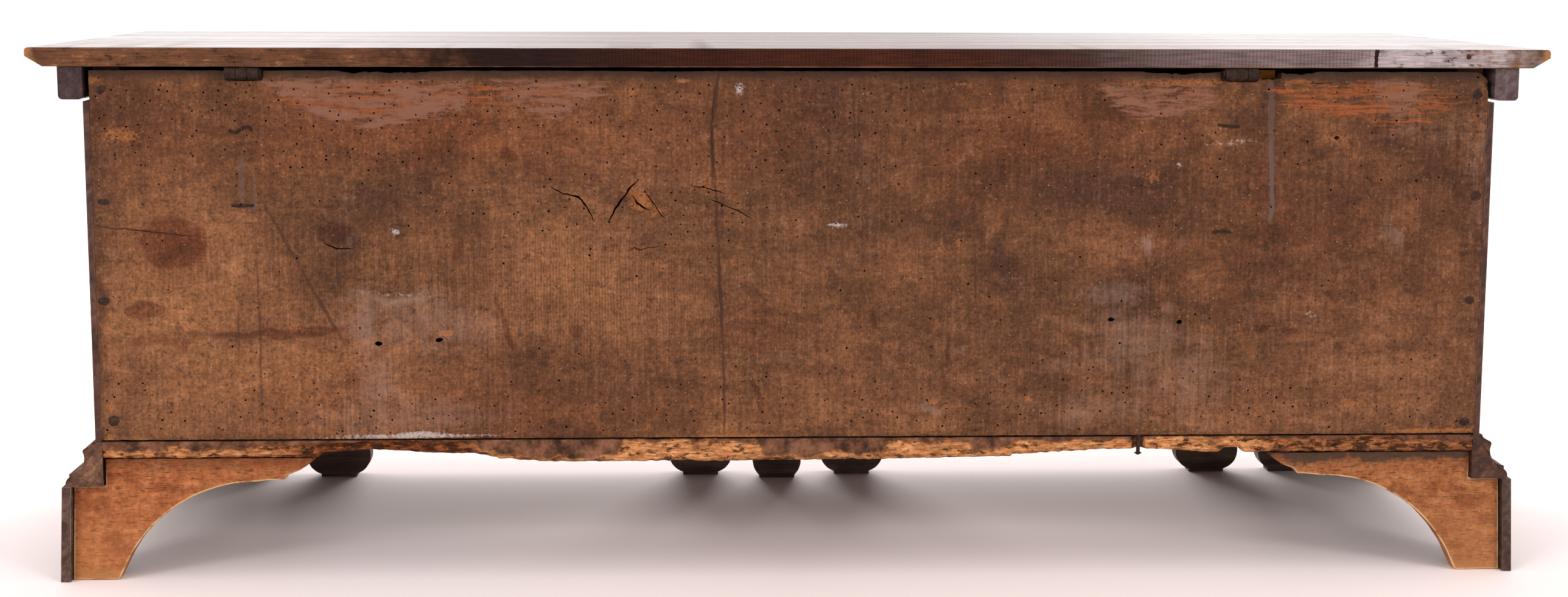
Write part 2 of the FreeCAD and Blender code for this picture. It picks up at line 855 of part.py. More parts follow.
def centre_foot_block():
    pad, wide = s.lobe_pad_width / 2, s.foot_block_width / 2
    right_half = [
        (pad, 0, 0),
        (pad, s.pad_height, 0),
        (wide, s.pad_height + wide / 2, SHOULDER_BULGE_SHARE),
        (wide, s.plinth_height, 0),
    ]
    block = extrude(
        "centre_foot_block", "XZ_Plane", mirrored(right_half), s.foot_block_thick,
        (0, apron_rear + s.foot_block_thick, 0),
    )
    keep(block, "centre_foot_block")


# Lid with its cleats.


def lid_board(holes):
    """One plank whose ends and front edge share a rounded nose over a bevelled underside."""
    half = lid_length / 2
    nose_low = s.lid_thick - s.nose_height
    nose_top = s.lid_thick - s.nose_radius
    across = mirrored(
        [
            (half - s.bevel_width, 0, 0),
            (half, nose_low, 0),
            (half, nose_top, 0),
            (half - s.nose_radius, s.lid_thick, QUARTER_ROUND_SHARE),
        ]
    )
    along = [
        (lid_front + s.bevel_width, 0, 0),
        (lid_rear, 0, 0),
        (lid_rear, s.lid_thick, 0),
        (lid_front + s.nose_radius, s.lid_thick, 0),
        (lid_front, nose_top, QUARTER_ROUND_SHARE),
        (lid_front, nose_low, 0),
    ]
    plank = common(
        "lid_plank",
        extrude("lid_across", "XZ_Plane", across, lid_depth, (0, lid_rear, lid_under)),
        extrude("lid_along", "YZ_Plane", along, lid_length, (-half, 0, lid_under)),
    )
    keep(cut("lid_board", plank, holes), "lid_board")


def lid_cleats(holes):
    inner = half_case + s.cleat_gap
    outer = inner + s.cleat_width
    run = lid_depth - s.cleat_rear_inset - s.cleat_front_inset
    for side, hand in HANDS.items():
        bulge = QUARTER_ROUND_SHARE * hand
        corners = [
            ((inner + s.cleat_round) * hand, cleat_under, bulge),
            ((outer - s.cleat_round) * hand, cleat_under, 0),
            (outer * hand, cleat_under + s.cleat_round, bulge),
            (outer * hand, lid_under, 0),
            (inner * hand, lid_under, 0),
            (inner * hand, cleat_under + s.cleat_round, 0),
        ]
        batten = extrude(
            f"{side}_cleat_batten", "XZ_Plane", corners, run, (0, lid_rear - s.cleat_rear_inset, 0)
        )
        keep(cut(f"{side}_lid_cleat", batten, holes[side]), f"{side}_lid_cleat")


# Strap hinges: outer knuckles and the case strap stay, the middle knuckle goes with the lid.


def pin_bore(side, owner):
    start = HINGE_X[side] - s.barrel_length / 2 - s.overrun
    return rod(
        f"{side}_{owner}_bore", "+X", (start, axis_y, axis_z),
        s.pin_diameter / 2 + s.pin_fit, s.barrel_length + s.overrun * 2,
    )


def case_hinge_leaf(side, holes):
    """The strap that lies over the back board's top and hangs down its inside."""
    x, half = HINGE_X[side], s.barrel_length / 2
    third = s.barrel_length / 3
    face = back_inner - s.leaf_thick
    top = back_top + s.leaf_thick
    low = back_top - s.case_strap_drop + half
    pieces = [
        box(f"{side}_case_saddle", (x - half, x + half), (face, axis_y), (back_top, top)),
        box(f"{side}_case_strap", (x - half, x + half), (face, back_inner), (low, top)),
        rod(f"{side}_case_strap_end", "+Y", (x, face, low), half, s.leaf_thick),
    ]
    for name, start in (("outer", x - half), ("inner", x + third / 2 + s.knuckle_gap / 2)):
        pieces.append(
            rod(
                f"{side}_case_knuckle_{name}", "+X", (start, axis_y, axis_z),
                barrel_radius, third - s.knuckle_gap / 2,
            )
        )
    gap_half = third / 2 + s.knuckle_gap / 2
    gap = box(
        f"{side}_knuckle_space", (x - gap_half, x + gap_half),
        (axis_y - barrel_radius - s.knuckle_gap, axis_y + s.overrun),
        (back_top - s.overrun, top + s.overrun),
    )
    node = f"{side}_case_hinge_leaf"
    leaf = fuse(f"{side}_case_leaf_blank", pieces)
    keep(cut(node, leaf, [gap, pin_bore(side, "case")] + holes), node)


def lid_hinge_leaf(side, holes):
    """The strap under the lid, with the middle knuckle on its end."""
    x, half = HINGE_X[side], s.barrel_length / 2
    knuckle = s.barrel_length / 3 - s.knuckle_gap
    low = lid_under - s.leaf_thick
    edge = axis_y - barrel_radius - s.knuckle_gap
    far = axis_y - s.lid_strap_length + half
    pieces = [
        box(f"{side}_lid_strap", (x - half, x + half), (far, edge), (low, lid_under)),
        box(f"{side}_lid_tongue", (x - knuckle / 2, x + knuckle / 2), (far, axis_y), (low, lid_under)),
        rod(f"{side}_lid_strap_end", "+Z", (x, far, low), half, s.leaf_thick),
        rod(f"{side}_lid_knuckle", "+X", (x - knuckle / 2, axis_y, axis_z), barrel_radius, knuckle),
    ]
    node = f"{side}_lid_hinge_leaf"
    leaf = fuse(f"{side}_lid_leaf_blank", pieces)
    keep(cut(node, leaf, [pin_bore(side, "lid")] + holes), node)


def hinge_pin(side):
    """The pin, with its head towards the middle of the chest."""
    start = HINGE_X[side] - s.barrel_length / 2
    head_start = start - s.pin_head_length if HANDS[side] > 0 else start + s.barrel_length
    node = f"{side}_hinge_pin"
    stem = rod(f"{side}_pin_stem", "+X", (start, axis_y, axis_z), s.pin_diameter / 2, s.barrel_length)
    head = rod(
        f"{side}_pin_head", "+X", (head_start, axis_y, axis_z),
        s.pin_head_diameter / 2, s.pin_head_length,
    )
    keep(fuse(node, [stem, head]), node)


# Lock inside the front: a case, a sliding bolt, and a staple on the lid that the bolt goes through.

lock_y = front_inner + s.lock_depth / 2
lock_top = case_top - s.lock_drop
lock_low = lock_top - s.lock_height
bolt_z = case_top - s.bolt_drop
key_z = case_top - s.keyhole_drop
plate_front = front - s.facing_thick - s.escutcheon_thick
LOCK_NAIL_SHARES = (0.15, 0.85)
STAPLE_NAIL_SHARE = 0.36
ESCUTCHEON_NAIL_SHARES = [(-0.36, 0.39), (0.36, 0.39), (0.0, -0.40)]


def small_nails(node, drive, places):
    nails, holes = [], []
    for index, place in enumerate(places):
        made, hole = nail(
            f"{node}_{index}", drive, place,
            s.small_nail_head, s.small_nail_rise, s.small_nail_shank, s.small_nail_length,
        )
        nails.append(made)
        holes.append(hole)
    keep(group(node, nails), node)
    return holes


def keyhole_tools():
    run = front_inner - plate_front + s.overrun * 2
    start = plate_front - s.overrun
    barrel = rod("keyhole_round", "+Y", (0, start, key_z), s.keyhole_diameter / 2, run)
    slot = box(
        "keyhole_slot", (-s.keyhole_slot / 2, s.keyhole_slot / 2),
        (start, start + run), (key_z - s.keyhole_length, key_z),
    )
    return [barrel, slot]


def lock_case(holes):
    half, wall = s.lock_width / 2, s.lock_wall
    back = front_inner + s.lock_depth
    shell = [
        box("lock_tray", (-half, half), (front_inner, back), (lock_low, lock_top)),
        box(
            "lock_plate", (-half - s.lock_flange, half + s.lock_flange),
            (front_inner, front_inner + wall), (lock_low, lock_top),
        ),
    ]
    cavity = box(
        "lock_cavity", (-half + wall, half - wall),
        (front_inner - s.overrun, back - wall), (lock_low + wall, lock_top - wall),
    )
    slot_half = s.staple_width / 2 + s.slot_side_room
    slot_reach = s.staple_depth / 2 + s.slot_end_room
    slot = box(
        "staple_slot", (-slot_half, slot_half),
        (lock_y - slot_reach, lock_y + slot_reach), (lock_top - wall, lock_top + s.overrun),
    )
    hollow = cut("lock_shell", fuse("lock_blank", shell), [cavity, slot] + holes)
    ledge_top = bolt_z - s.bolt_size / 2 - s.bolt_fit
    heights = (ledge_top - s.bolt_size, ledge_top)
    run = (lock_y - s.bolt_size / 2, back - wall)
    ledges = [
        box("left_bolt_ledge", (-half + wall, -slot_half), run, heights),
        box("right_bolt_ledge", (slot_half, slot_half + s.bolt_throw), run, heights),
    ]
    keep(fuse("lock_case", [hollow] + ledges), "lock_case")


def lock_bolt():
    tip = -(s.staple_width / 2 + s.bolt_to_staple)
    half = s.bolt_size / 2
    bolt = box(
        "lock_bolt", (tip - s.bolt_length, tip), (lock_y - half, lock_y + half),
        (bolt_z - half, bolt_z + half),
    )
    keep(bolt, "lock_bolt")


def lock_staple(holes):
    """A bar with an eye for the bolt, let through the plate that holds it under the lid."""
    half, reach, eye_half = s.staple_width / 2, s.staple_depth / 2, s.staple_hole / 2
    plate_low = lid_under - s.staple_plate_thick
    plate_half, plate_reach = s.staple_plate_length / 2, s.staple_plate_width / 2
    plate = box(
        "staple_plate_blank", (-plate_half, plate_half),
        (lock_y - plate_reach, lock_y + plate_reach), (plate_low, lid_under),
    )
    bar = box(
        "staple_bar", (-half, half), (lock_y - reach, lock_y + reach),
        (bolt_z - eye_half - s.staple_tail, lid_under),
    )
    eye = box(
        "staple_eye", (-half - s.overrun, half + s.overrun),
        (lock_y - eye_half, lock_y + eye_half), (bolt_z - eye_half, bolt_z + eye_half),
    )
    keep(cut("lock_staple_plate", plate, [bar] + holes), "lock_staple_plate")
    keep(cut("lock_staple", bar, [eye]), "lock_staple")


def escutcheon(keyhole, holes):
    """A plain iron shield round the keyhole."""
    right_half = [
        (s.escutcheon_width * across_share, key_z + s.escutcheon_height * up_share, bulge)
        for across_share, up_share, bulge in ESCUTCHEON_SHARES
    ]
    plate = extrude(
        "escutcheon_blank", "XZ_Plane", mirrored(right_half), s.escutcheon_thick,
        (0, front - s.facing_thick, 0),
    )
    keep(cut("escutcheon", plate, keyhole + holes), "escutcheon")


def build():
    back_holes = back_nails()
    clench_holes = clenched_nails()
    strap_holes = lid_nails()
    batten_holes = cleat_nails()
    up_holes = bottom_nails()
    keyhole = keyhole_tools()
    flange_x = s.lock_width / 2 + s.lock_flange / 2
    lock_holes = small_nails(
        "lock_nails", "-Y",
        [
            (flange_x * hand, front_inner + s.lock_wall, lock_low + s.lock_height * share)
            for hand in HANDS.values()
            for share in LOCK_NAIL_SHARES
        ],
    )
    staple_holes = small_nails(
        "lock_staple_nails", "+Z",
        [
            (s.staple_plate_length * STAPLE_NAIL_SHARE * hand, lock_y, lid_under - s.staple_plate_thick)
            for hand in HANDS.values()
        ],
    )
    plate_holes = small_nails(
        "escutcheon_nails", "+Y",
        [
            (s.escutcheon_width * across_share, plate_front, key_z + s.escutcheon_height * up_share)
            for across_share, up_share in ESCUTCHEON_NAIL_SHARES
        ],
    )
    back_board(back_holes, clench_holes, up_holes)
    hinge_packing()
    end_boards(back_holes)
    end_facings()
    front_boards(keyhole, lock_holes, plate_holes)
    bottom_boards(up_holes)
    base_mouldings()
    base_rails()
    front_apron()
    side_aprons()
    rear_brackets()
    corner_blocks()
    centre_foot_block()
    lid_board(
        strap_holes["left"] + strap_holes["right"] + batten_holes["left"] + batten_holes["right"]
        + staple_holes
    )
    lid_cleats(batten_holes)
    for side in HANDS:
        case_hinge_leaf(side, clench_holes[side])
        lid_hinge_leaf(side, strap_holes[side])
        hinge_pin(side)
    lock_case(lock_holes)
    lock_bolt()
    lock_staple(staple_holes)
    escutcheon(keyhole, plate_holes)


def check():
    """Stop if anything in the document failed or a sub-part has no sound solid."""
    for thing in doc.Objects:
        if "Invalid" in thing.State or "Error" in thing.State:
            raise RuntimeError(f"{thing.Label} failed: {thing.State}")
    for thing in sub_parts:
        if thing.Shape.isNull() or not thing.Shape.isValid() or not thing.Shape.Solids:
            raise RuntimeError(f"{thing.Label} has no sound solid")


build()
doc.recompute()
check()
os.makedirs("parts", exist_ok=True)
for part in sub_parts:
    part.Shape.exportStep(f"parts/{part.Label}.step")
    print(f"{part.Label}: {len(part.Shape.Solids)} solids, {part.Shape.Volume:.0f} mm3")
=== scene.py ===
# %% [markdown]
# An old coffer chest, seen from behind.
# The chest is a long walnut box with a hinged lid, and its rough back was never meant to be looked at.
# The solids come from CAD and stay where they are. Blender only gives them age: worn arrises, worm holes,
# cracks, stains and finishes. Everything is in metres, in the frame of the CAD model.

# %% Load the frame
import math
import random

import bmesh
import bpy
import numpy as np
from mathutils import Matrix, Vector, noise


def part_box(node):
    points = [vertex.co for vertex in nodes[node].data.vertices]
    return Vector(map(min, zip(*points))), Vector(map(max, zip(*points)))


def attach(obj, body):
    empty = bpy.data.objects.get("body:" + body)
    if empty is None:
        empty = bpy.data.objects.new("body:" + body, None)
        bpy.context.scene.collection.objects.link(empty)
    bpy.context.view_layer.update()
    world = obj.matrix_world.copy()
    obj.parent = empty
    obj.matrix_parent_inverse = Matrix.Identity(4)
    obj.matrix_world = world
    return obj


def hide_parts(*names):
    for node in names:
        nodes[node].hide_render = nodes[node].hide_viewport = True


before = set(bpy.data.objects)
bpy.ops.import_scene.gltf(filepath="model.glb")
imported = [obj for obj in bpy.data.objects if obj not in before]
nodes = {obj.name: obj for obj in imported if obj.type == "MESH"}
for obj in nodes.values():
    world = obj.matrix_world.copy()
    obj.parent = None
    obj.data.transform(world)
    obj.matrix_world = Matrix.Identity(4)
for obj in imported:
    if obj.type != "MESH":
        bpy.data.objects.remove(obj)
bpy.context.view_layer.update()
scene = bpy.context.scene
MM = 0.001

# %% [markdown]
# The camera comes first, because everything else is compared with the photograph through it.
# Its place was worked out from the straight edges of the chest and from the floor points of the feet.
# It stands behind the chest, so it looks along -Y, slightly down and slightly from the side.

# %% Camera at the photograph's view
CAMERA_PLACE = Vector((0.1289, 2.8874, 0.6824))
CAMERA_YAW = math.radians(2.5296)
CAMERA_PITCH = math.radians(8.0601)
CAMERA_ROLL = math.radians(0.1953)
SENSOR_WIDTH = 36.0
LENS = 55.035

camera = bpy.data.objects.new("photo_camera", bpy.data.cameras.new("photo_camera"))
scene.collection.objects.link(camera)
camera.data.sensor_fit = "HORIZONTAL"
camera.data.sensor_width = SENSOR_WIDTH
camera.data.lens = LENS
aim = Matrix.Rotation(math.pi - CAMERA_YAW, 3, "Z")
aim = aim @ Matrix.Rotation(math.pi / 2 - CAMERA_PITCH, 3, "X")
aim = aim @ Matrix.Rotation(CAMERA_ROLL, 3, "Z")
camera.matrix_world = Matrix.Translation(CAMERA_PLACE) @ aim.to_4x4()
scene.camera = camera
print("camera", [round(value, 3) for value in camera.location], "lens", LENS)

# %% [markdown]
# Every finish below is a tree of nodes, so four small tools are needed before the first one. Colours are
# written as sRGB hex values, the way a paint chart gives them, and shaders want linear values. Texture
# nodes count features per metre, and a maker thinks of grain in millimetres, so one line converts. The
# third tool fills a node's inputs, and the last adds a node, sets it up and gives back its first output.
# Most kinds of node begin with ShaderNode, so that beginning is left out.

# %% Tools for node trees
def linear(code):
    """Turns an sRGB hex colour into linear light."""
    parts = [int(code[start:start + 2], 16) / 255 for start in (1, 3, 5)]
    parts = [part / 12.92 if part <= 0.04045 else ((part + 0.055) / 1.055) ** 2.4 for part in parts]
    return (*parts, 1.0)


def per_metre(size):
    """The texture scale that makes features of this many millimetres."""
    return 1 / (size * MM)


def join(tree, node, inputs):
    """Fills a node's inputs, by name or number: sockets are linked, hex colours turned to linear light."""
    for key, value in inputs.items():
        in_use = [socket for socket in node.inputs if socket.enabled]
        named = [socket for socket in in_use if key in (socket.name, socket.identifier)]
        socket = node.inputs[key] if isinstance(key, int) else named[0]
        if isinstance(value, bpy.types.NodeSocket):
            tree.links.new(value, socket)
        else:
            is_colour = isinstance(value, str) and value.startswith("#")
            socket.default_value = linear(value) if is_colour else value


def add(tree, kind, inputs=None, **settings):
    """Adds one node with its settings and links, and returns its first output in use."""
    node = tree.nodes.new(kind if "Node" in kind else f"ShaderNode{kind}")
    stops = settings.pop("stops", None)
    for key, value in settings.items():
        setattr(node, key, value)
    join(tree, node, inputs or {})
    if stops:
        ramp = node.color_ramp
        while len(ramp.elements) < len(stops):
            ramp.elements.new(1.0)
        for element, (position, code) in zip(ramp.elements, stops):
            element.position = position
            element.color = linear(code)
    return next((output for output in node.outputs if output.enabled), None)


print("white", [round(part, 2) for part in linear("#ffffff")], "grain of 2 mm", per_metre(2))

# %% [markdown]
# The photograph was taken in a white studio with a pale floor that runs on into white.
# A square plane would do, but a wide disc has no corners, and its edge lies beyond every view.

# %% Studio floor
FLOOR_RADIUS = 60.0

floor_mesh = bpy.data.meshes.new("studio_floor")
shape = bmesh.new()
bmesh.ops.create_circle(shape, cap_ends=True, segments=96, radius=FLOOR_RADIUS)
shape.to_mesh(floor_mesh)
shape.free()
floor = bpy.data.objects.new("studio_floor", floor_mesh)
scene.collection.objects.link(floor)

# Painted board: matt, a little darker and pinker near the chest as painted shade and reflected light from
# the wood, plain white further off.
floor_paint = bpy.data.materials.new("matt_studio_floor")
floor_paint.use_nodes = True
tree = floor_paint.node_tree
place = add(tree, "TexCoord").node.outputs["Object"]
away = add(tree, "VectorMath", {"Vector": place}, operation="LENGTH")
away = away.node.outputs["Value"]
away = add(tree, "MapRange", {"Value": away, "From Min": 1.0, "From Max": 3.2})
# Painted shade and reflected light: near the chest the floor is darker and pinker, as if the wood shaded it
# and threw warm light on it.
bounce_tint = add(tree, "Mix", {"Factor": away, "A": "#f9eeec", "B": "#fefcfc"}, data_type="RGBA")
shader = tree.nodes["Principled BSDF"]
join(tree, shader, {"Base Color": bounce_tint, "Roughness": 0.6, "Specular IOR Level": 0.2})
floor_mesh.materials.append(floor_paint)
print("floor of", FLOOR_RADIUS, "m radius")

# %% [markdown]
# Light comes from all round, so a white world does most of it. Two softboxes, left and right of the
# camera, give the relief some shape. Area lights could stand for them, but suns with a wide disc light
# the whole length evenly, and they are low enough to reach the floor under the chest. A low panel on the
# far side stands for the lit backdrop, so that the scrolled feet throw their shadows towards the camera.

# %% Studio light
WORLD_STRENGTH = 1.24
world = bpy.data.worlds.new("white_studio")
world.use_nodes = True
sky = world.node_tree.nodes["Background"]
sky.inputs["Color"].default_value = linear("#fffafa")
sky.inputs["Strength"].default_value = WORLD_STRENGTH
scene.world = world

# Strength in watts per square metre, softness in degrees, and the way the light falls.
for name, strength, softness, way in (
    ("left_softbox", 1.05, 16, (-0.75, -0.8, -0.36)), ("right_softbox", 0.95, 16, (0.75, -0.8, -0.36)),
):
    sun = bpy.data.objects.new(name, bpy.data.lights.new(name, "SUN"))
    scene.collection.objects.link(sun)
    sun.data.energy = strength
    sun.data.angle = math.radians(softness)
    sun.rotation_euler = Vector(way).to_track_quat("-Z", "Y").to_euler()

# The lit backdrop, as a low panel on the far side; it shines under the chest and stays out of the picture.
backdrop = bpy.data.objects.new("backdrop", bpy.data.lights.new("backdrop", "AREA"))
scene.collection.objects.link(backdrop)
backdrop.data.shape = "RECTANGLE"
backdrop.data.size = 1.5
backdrop.data.size_y = 0.4
backdrop.data.energy = 165.0
backdrop.location = (0.0, -2.6, 0.3)
backdrop.rotation_euler = Vector((0.0, 1.0, -0.05)).to_track_quat("-Z", "Y").to_euler()
backdrop.visible_camera = False
backdrop.visible_glossy = False
scene.view_settings.view_transform = "Standard"

# %% [markdown]
# A finish is built as a finisher would build it: a ground colour first, then coats over it. Three helpers
# do what every finish needs. One starts a material. One lays a coat of a single tone where some noise is
# high, which is a mix of two colours. One darkens and lightens a colour by noise, by multiplying.

# %% Coats and shades
def start_finish(name):
    """A new material: its tree, its shader and the place on the piece in metres."""
    finish = bpy.data.materials.new(name)
    finish.use_nodes = True
    tree = finish.node_tree
    place = add(tree, "TexCoord").node.outputs["Object"]
    return finish, tree, tree.nodes["Principled BSDF"], place


def coated(tree, colour, tone, source, start, end, most=1.0, blend="MIX"):
    """Lays a tone over a colour where a source passes from start to end, at most this thickly."""
    cover = add(tree, "MapRange", {"Value": source, "From Min": start, "From Max": end, "To Max": most})
    return add(tree, "Mix", {"Factor": cover, "A": colour, "B": tone}, data_type="RGBA", blend_type=blend)


def shaded(tree, colour, source, start, end, low, high):
    """Multiplies a colour by low where a source is at start, and by high where it is at end."""
    span = {"Value": source, "From Min": start, "From Max": end, "To Min": low, "To Max": high}
    shade = add(tree, "MapRange", span)
    return add(
        tree, "Mix", {"Factor": 1.0, "A": colour, "B": shade}, data_type="RGBA", blend_type="MULTIPLY",
    )


# A wave node repeats every 0.314 of its coordinate, so this divided by a spacing in metres is its scale.
WAVE_REPEAT = 0.314
print("a coat is two nodes, a wave of 4 mm has scale", round(WAVE_REPEAT / (4 * MM), 1))

# %% [markdown]
# Old wood is the finish that most pieces share: bands of darker and lighter figure that run along the
# grain, soft blotches of dirt, and short dark pores. All three are noise; the grain comes from squeezing
# the noise's coordinates along one axis, so that each feature is drawn out. Pieces that were rounded by
# use carry an attribute called wear on their arrises, where the bare wood shows through.

# %% Old wood
# Real pores are 0.2 mm wide; they are drawn at this width, or they would not show.
PORE = 1.2


def old_wood(name, dark, middle, light, grain, figure, roughness, bare=None, coat=0.0):
    """Wood with figure, dirt, pores and bare arrises; grain is the axis it runs along, figure is in mm."""
    finish, tree, shader, place = start_finish(name)
    drawn_out = [1.0, 1.0, 1.0]
    drawn_out[grain] = 0.06
    along = add(tree, "Mapping", {"Vector": place, "Scale": drawn_out})
    bands = add(
        tree, "TexNoise",
        {"Vector": along, "Scale": per_metre(figure), "Detail": 9.0, "Roughness": 0.7, "Distortion": 0.6},
    )
    colour = add(tree, "ValToRGB", {"Fac": bands}, stops=[(0.3, dark), (0.5, middle), (0.7, light)])
    # Growth rings: the wave's distortion lets the lines wander.
    rings = add(
        tree, "TexWave",
        {
            "Vector": along, "Scale": WAVE_REPEAT / (0.4 * figure * MM), "Distortion": 8.0, "Detail": 3.0,
            "Detail Scale": 0.8,
        },
        wave_type="BANDS", bands_direction="DIAGONAL", wave_profile="SAW",
    )
    colour = shaded(tree, colour, rings, 0, 1, 0.74, 1.14)
    dirt_and_edge_shade = add(
        tree, "TexNoise", {"Vector": place, "Scale": per_metre(70), "Detail": 5.0, "Roughness": 0.65},
    )
    dirt_and_edge_shade = add(tree, "MapRange", {"Value": dirt_and_edge_shade, "From Min": 0.45, "From Max": 0.75, "To Max": 0.6})
    colour = add(tree, "Mix", {"Factor": dirt_and_edge_shade, "A": colour, "B": dark}, data_type="RGBA")
    pores = add(tree, "TexNoise", {"Vector": along, "Scale": per_metre(PORE), "Detail": 2.0})
    pores = add(tree, "MapRange", {"Value": pores, "From Min": 0.56, "From Max": 0.7, "To Max": 0.55})
    colour = add(
        tree, "Mix", {"Factor": pores, "A": colour, "B": dark}, data_type="RGBA", blend_type="MULTIPLY",
    )
    if bare:
        wear = add(tree, "Attribute", attribute_name="wear").node.outputs["Fac"]
        rubbed = add(tree, "TexNoise", {"Vector": place, "Scale": per_metre(18), "Detail": 4.0})
        rubbed = add(tree, "MapRange", {"Value": rubbed, "From Min": 0.42, "From Max": 0.6})
        wear = add(tree, "Math", {0: wear, 1: rubbed}, operation="MULTIPLY")
        colour = add(tree, "Mix", {"Factor": wear, "A": colour, "B": bare}, data_type="RGBA")
    gloss = add(
        tree, "MapRange", {"Value": dirt_and_edge_shade, "To Min": roughness, "To Max": min(1.0, roughness + 0.3)},
    )
    relief = add(tree, "Math", {0: bands, 1: pores}, operation="SUBTRACT")
    relief = add(tree, "Bump", {"Height": relief, "Strength": 0.5, "Distance": 0.5 * MM})
    join(
        tree, shader,
        {"Base Color": colour, "Roughness": gloss, "Specular IOR Level": 0.18, "Normal": relief},
    )
    join(tree, shader, {"Coat Weight": coat, "Coat Roughness": 0.25})
    return finish


print("pores are drawn", PORE, "mm wide")

# %% [markdown]
# The chest has one kind of wood, but light, dirt and polish have changed it from piece to piece.
# Each finish could have a tree of its own. One recipe with other colours, grain axes and figure sizes is
# shorter, and each finish can still be matched alone.

# %% Woods of the chest
# Walnut with an old wax polish: dark, red-brown and a little shiny.
facing_walnut = old_wood(
    "waxed_walnut_facing", "#23120c", "#492d22", "#694430", 0, 22, 0.55, "#85512d", 0.04,
)
end_walnut = old_wood("waxed_walnut_ends", "#23120c", "#452b22", "#634030", 1, 22, 0.55, "#5c3f30", 0.04)
moulding_walnut = old_wood(
    "waxed_walnut_moulding", "#25140d", "#503325", "#78513d", 0, 14, 0.55, "#8e603d", 0.04,
)
side_walnut = old_wood(
    "waxed_walnut_left_moulding", "#20110b", "#43291d", "#644230", 1, 14, 0.55, "#7a5034", 0.04,
)
# The right moulding and the right plinth are paler than the left ones.
pale_walnut = old_wood(
    "pale_walnut_right_moulding", "#2f1b12", "#5e3f2e", "#865e48", 1, 14, 0.6, "#9b6c48", 0.02,
)
dark_cleat = old_wood(
    "stained_walnut_right_cleat", "#1e1212", "#392625", "#4a3b3a", 1, 18, 0.5, "#523a30", 0.03,
)
# Painted light: the left cleat is a lighter, greyer copy of the cleat walnut, as if lit more strongly.
lit_cleat = old_wood(
    "lit_walnut_left_cleat", "#33211f", "#574644", "#6f6262", 1, 18, 0.5, "#7a5f50", 0.05,
)
# Plinth boards: walnut darkened by floor polish and damp.
plinth_walnut = old_wood(
    "dark_walnut_plinth", "#211410", "#412f27", "#5e483d", 0, 16, 0.55, "#735541", 0.03,
)
side_plinth = old_wood(
    "dark_walnut_left_plinth", "#211410", "#412f27", "#5e483d", 1, 16, 0.55, "#735541", 0.03,
)
pale_plinth = old_wood(
    "pale_walnut_right_plinth", "#2b1c16", "#523c33", "#70574b", 1, 16, 0.6, "#7f614c", 0.02,
)
# Inside the chest: sawn and never polished, dry and matt.
bare_walnut = old_wood("dry_walnut_inside", "#3b271a", "#5e402a", "#7a593c", 0, 30, 0.75)
bottom_walnut = old_wood("dry_walnut_bottom", "#3d2718", "#64442b", "#836040", 0, 34, 0.78)
# A slip of pale fir, stained yellow.
packing_fir = old_wood("yellow_fir_slip", "#643904", "#875209", "#a26d15", 0, 10, 0.7)
print("old woods:", len([material for material in bpy.data.materials if "walnut" in material.name]))

# %% [markdown]
# The iron is forged: hinges, nails and the lock. Hammer marks and rust make it dark, rough and uneven.
# Clean metal would mirror the studio, so rust leads the colour and only a little metal is left. The
# hammer marks are bumps 4 mm wide. They need no shape of their own, because nothing casts their shadow.

# %% Forged iron
def forged(name, stops, dirt_and_edge_shade):
    """Hammered iron with old rust: dull on the humps, browner where it rusts, with painted shade on its
    worn arrises.
    """
    finish, tree, shader, place = start_finish(name)
    rust = add(
        tree, "TexNoise", {"Vector": place, "Scale": per_metre(6), "Detail": 6.0, "Roughness": 0.7},
    )
    colour = add(tree, "ValToRGB", {"Fac": rust}, stops=stops)
    # Painted shade: the worn arrises are darkened to stand in for the shadows in the gaps of hinges and
    # lock.
    wear = add(tree, "Attribute", attribute_name="wear").node.outputs["Fac"]
    wear = add(tree, "Math", {0: wear, 1: 0.7}, operation="MULTIPLY")
    colour = add(tree, "Mix", {"Factor": wear, "A": colour, "B": dirt_and_edge_shade}, data_type="RGBA")
    dull = add(
        tree, "MapRange",
        {"Value": rust, "From Min": 0.35, "From Max": 0.7, "To Min": 0.5, "To Max": 0.8},
    )
    hammered = add(tree, "TexNoise", {"Vector": place, "Scale": per_metre(4), "Detail": 4.0})
    hammered = add(tree, "Bump", {"Height": hammered, "Strength": 0.6, "Distance": 0.8 * MM})
    join(tree, shader, {"Base Color": colour, "Roughness": dull, "Metallic": 0.15, "Normal": hammered})
    join(tree, shader, {"Specular IOR Level": 0.15})
    return finish


# Hinges and lock are nearly black; the nails have rusted to the brown of the wood around them.
forged_iron = forged(
    "forged_iron", [(0.35, "#150d09"), (0.52, "#291b15"), (0.64, "#38251c"), (0.75, "#4c2c1a")],
    "#0c0705",
)
rusted_iron = forged(
    "rusted_iron", [(0.35, "#180e0a"), (0.5, "#2f1e16"), (0.6, "#412a1e"), (0.72, "#553624")], "#0c0705",
)
iron_nodes = [name for name in nodes if "nail" in name or "hinge" in name or "lock" in name]
print("iron for", len(iron_nodes), "nodes")

# %% [markdown]
# Every piece goes into the scene in the same way. One helper makes an object from a finished shape. The
# other gives it its finish, lets it ride on a body, and hides the CAD nodes it stands for.
# Faces are shaded smooth except across sharp arrises, so a worn edge looks soft without many faces.

# %% Tools for pieces
SHARP_ANGLE = math.radians(32)


def put_object(name, shape):
    """Makes a plain object from a finished shape."""
    mesh = bpy.data.meshes.new(name)
    shape.to_mesh(mesh)
    shape.free()
    piece = bpy.data.objects.new(name, mesh)
    scene.collection.objects.link(piece)
    return piece


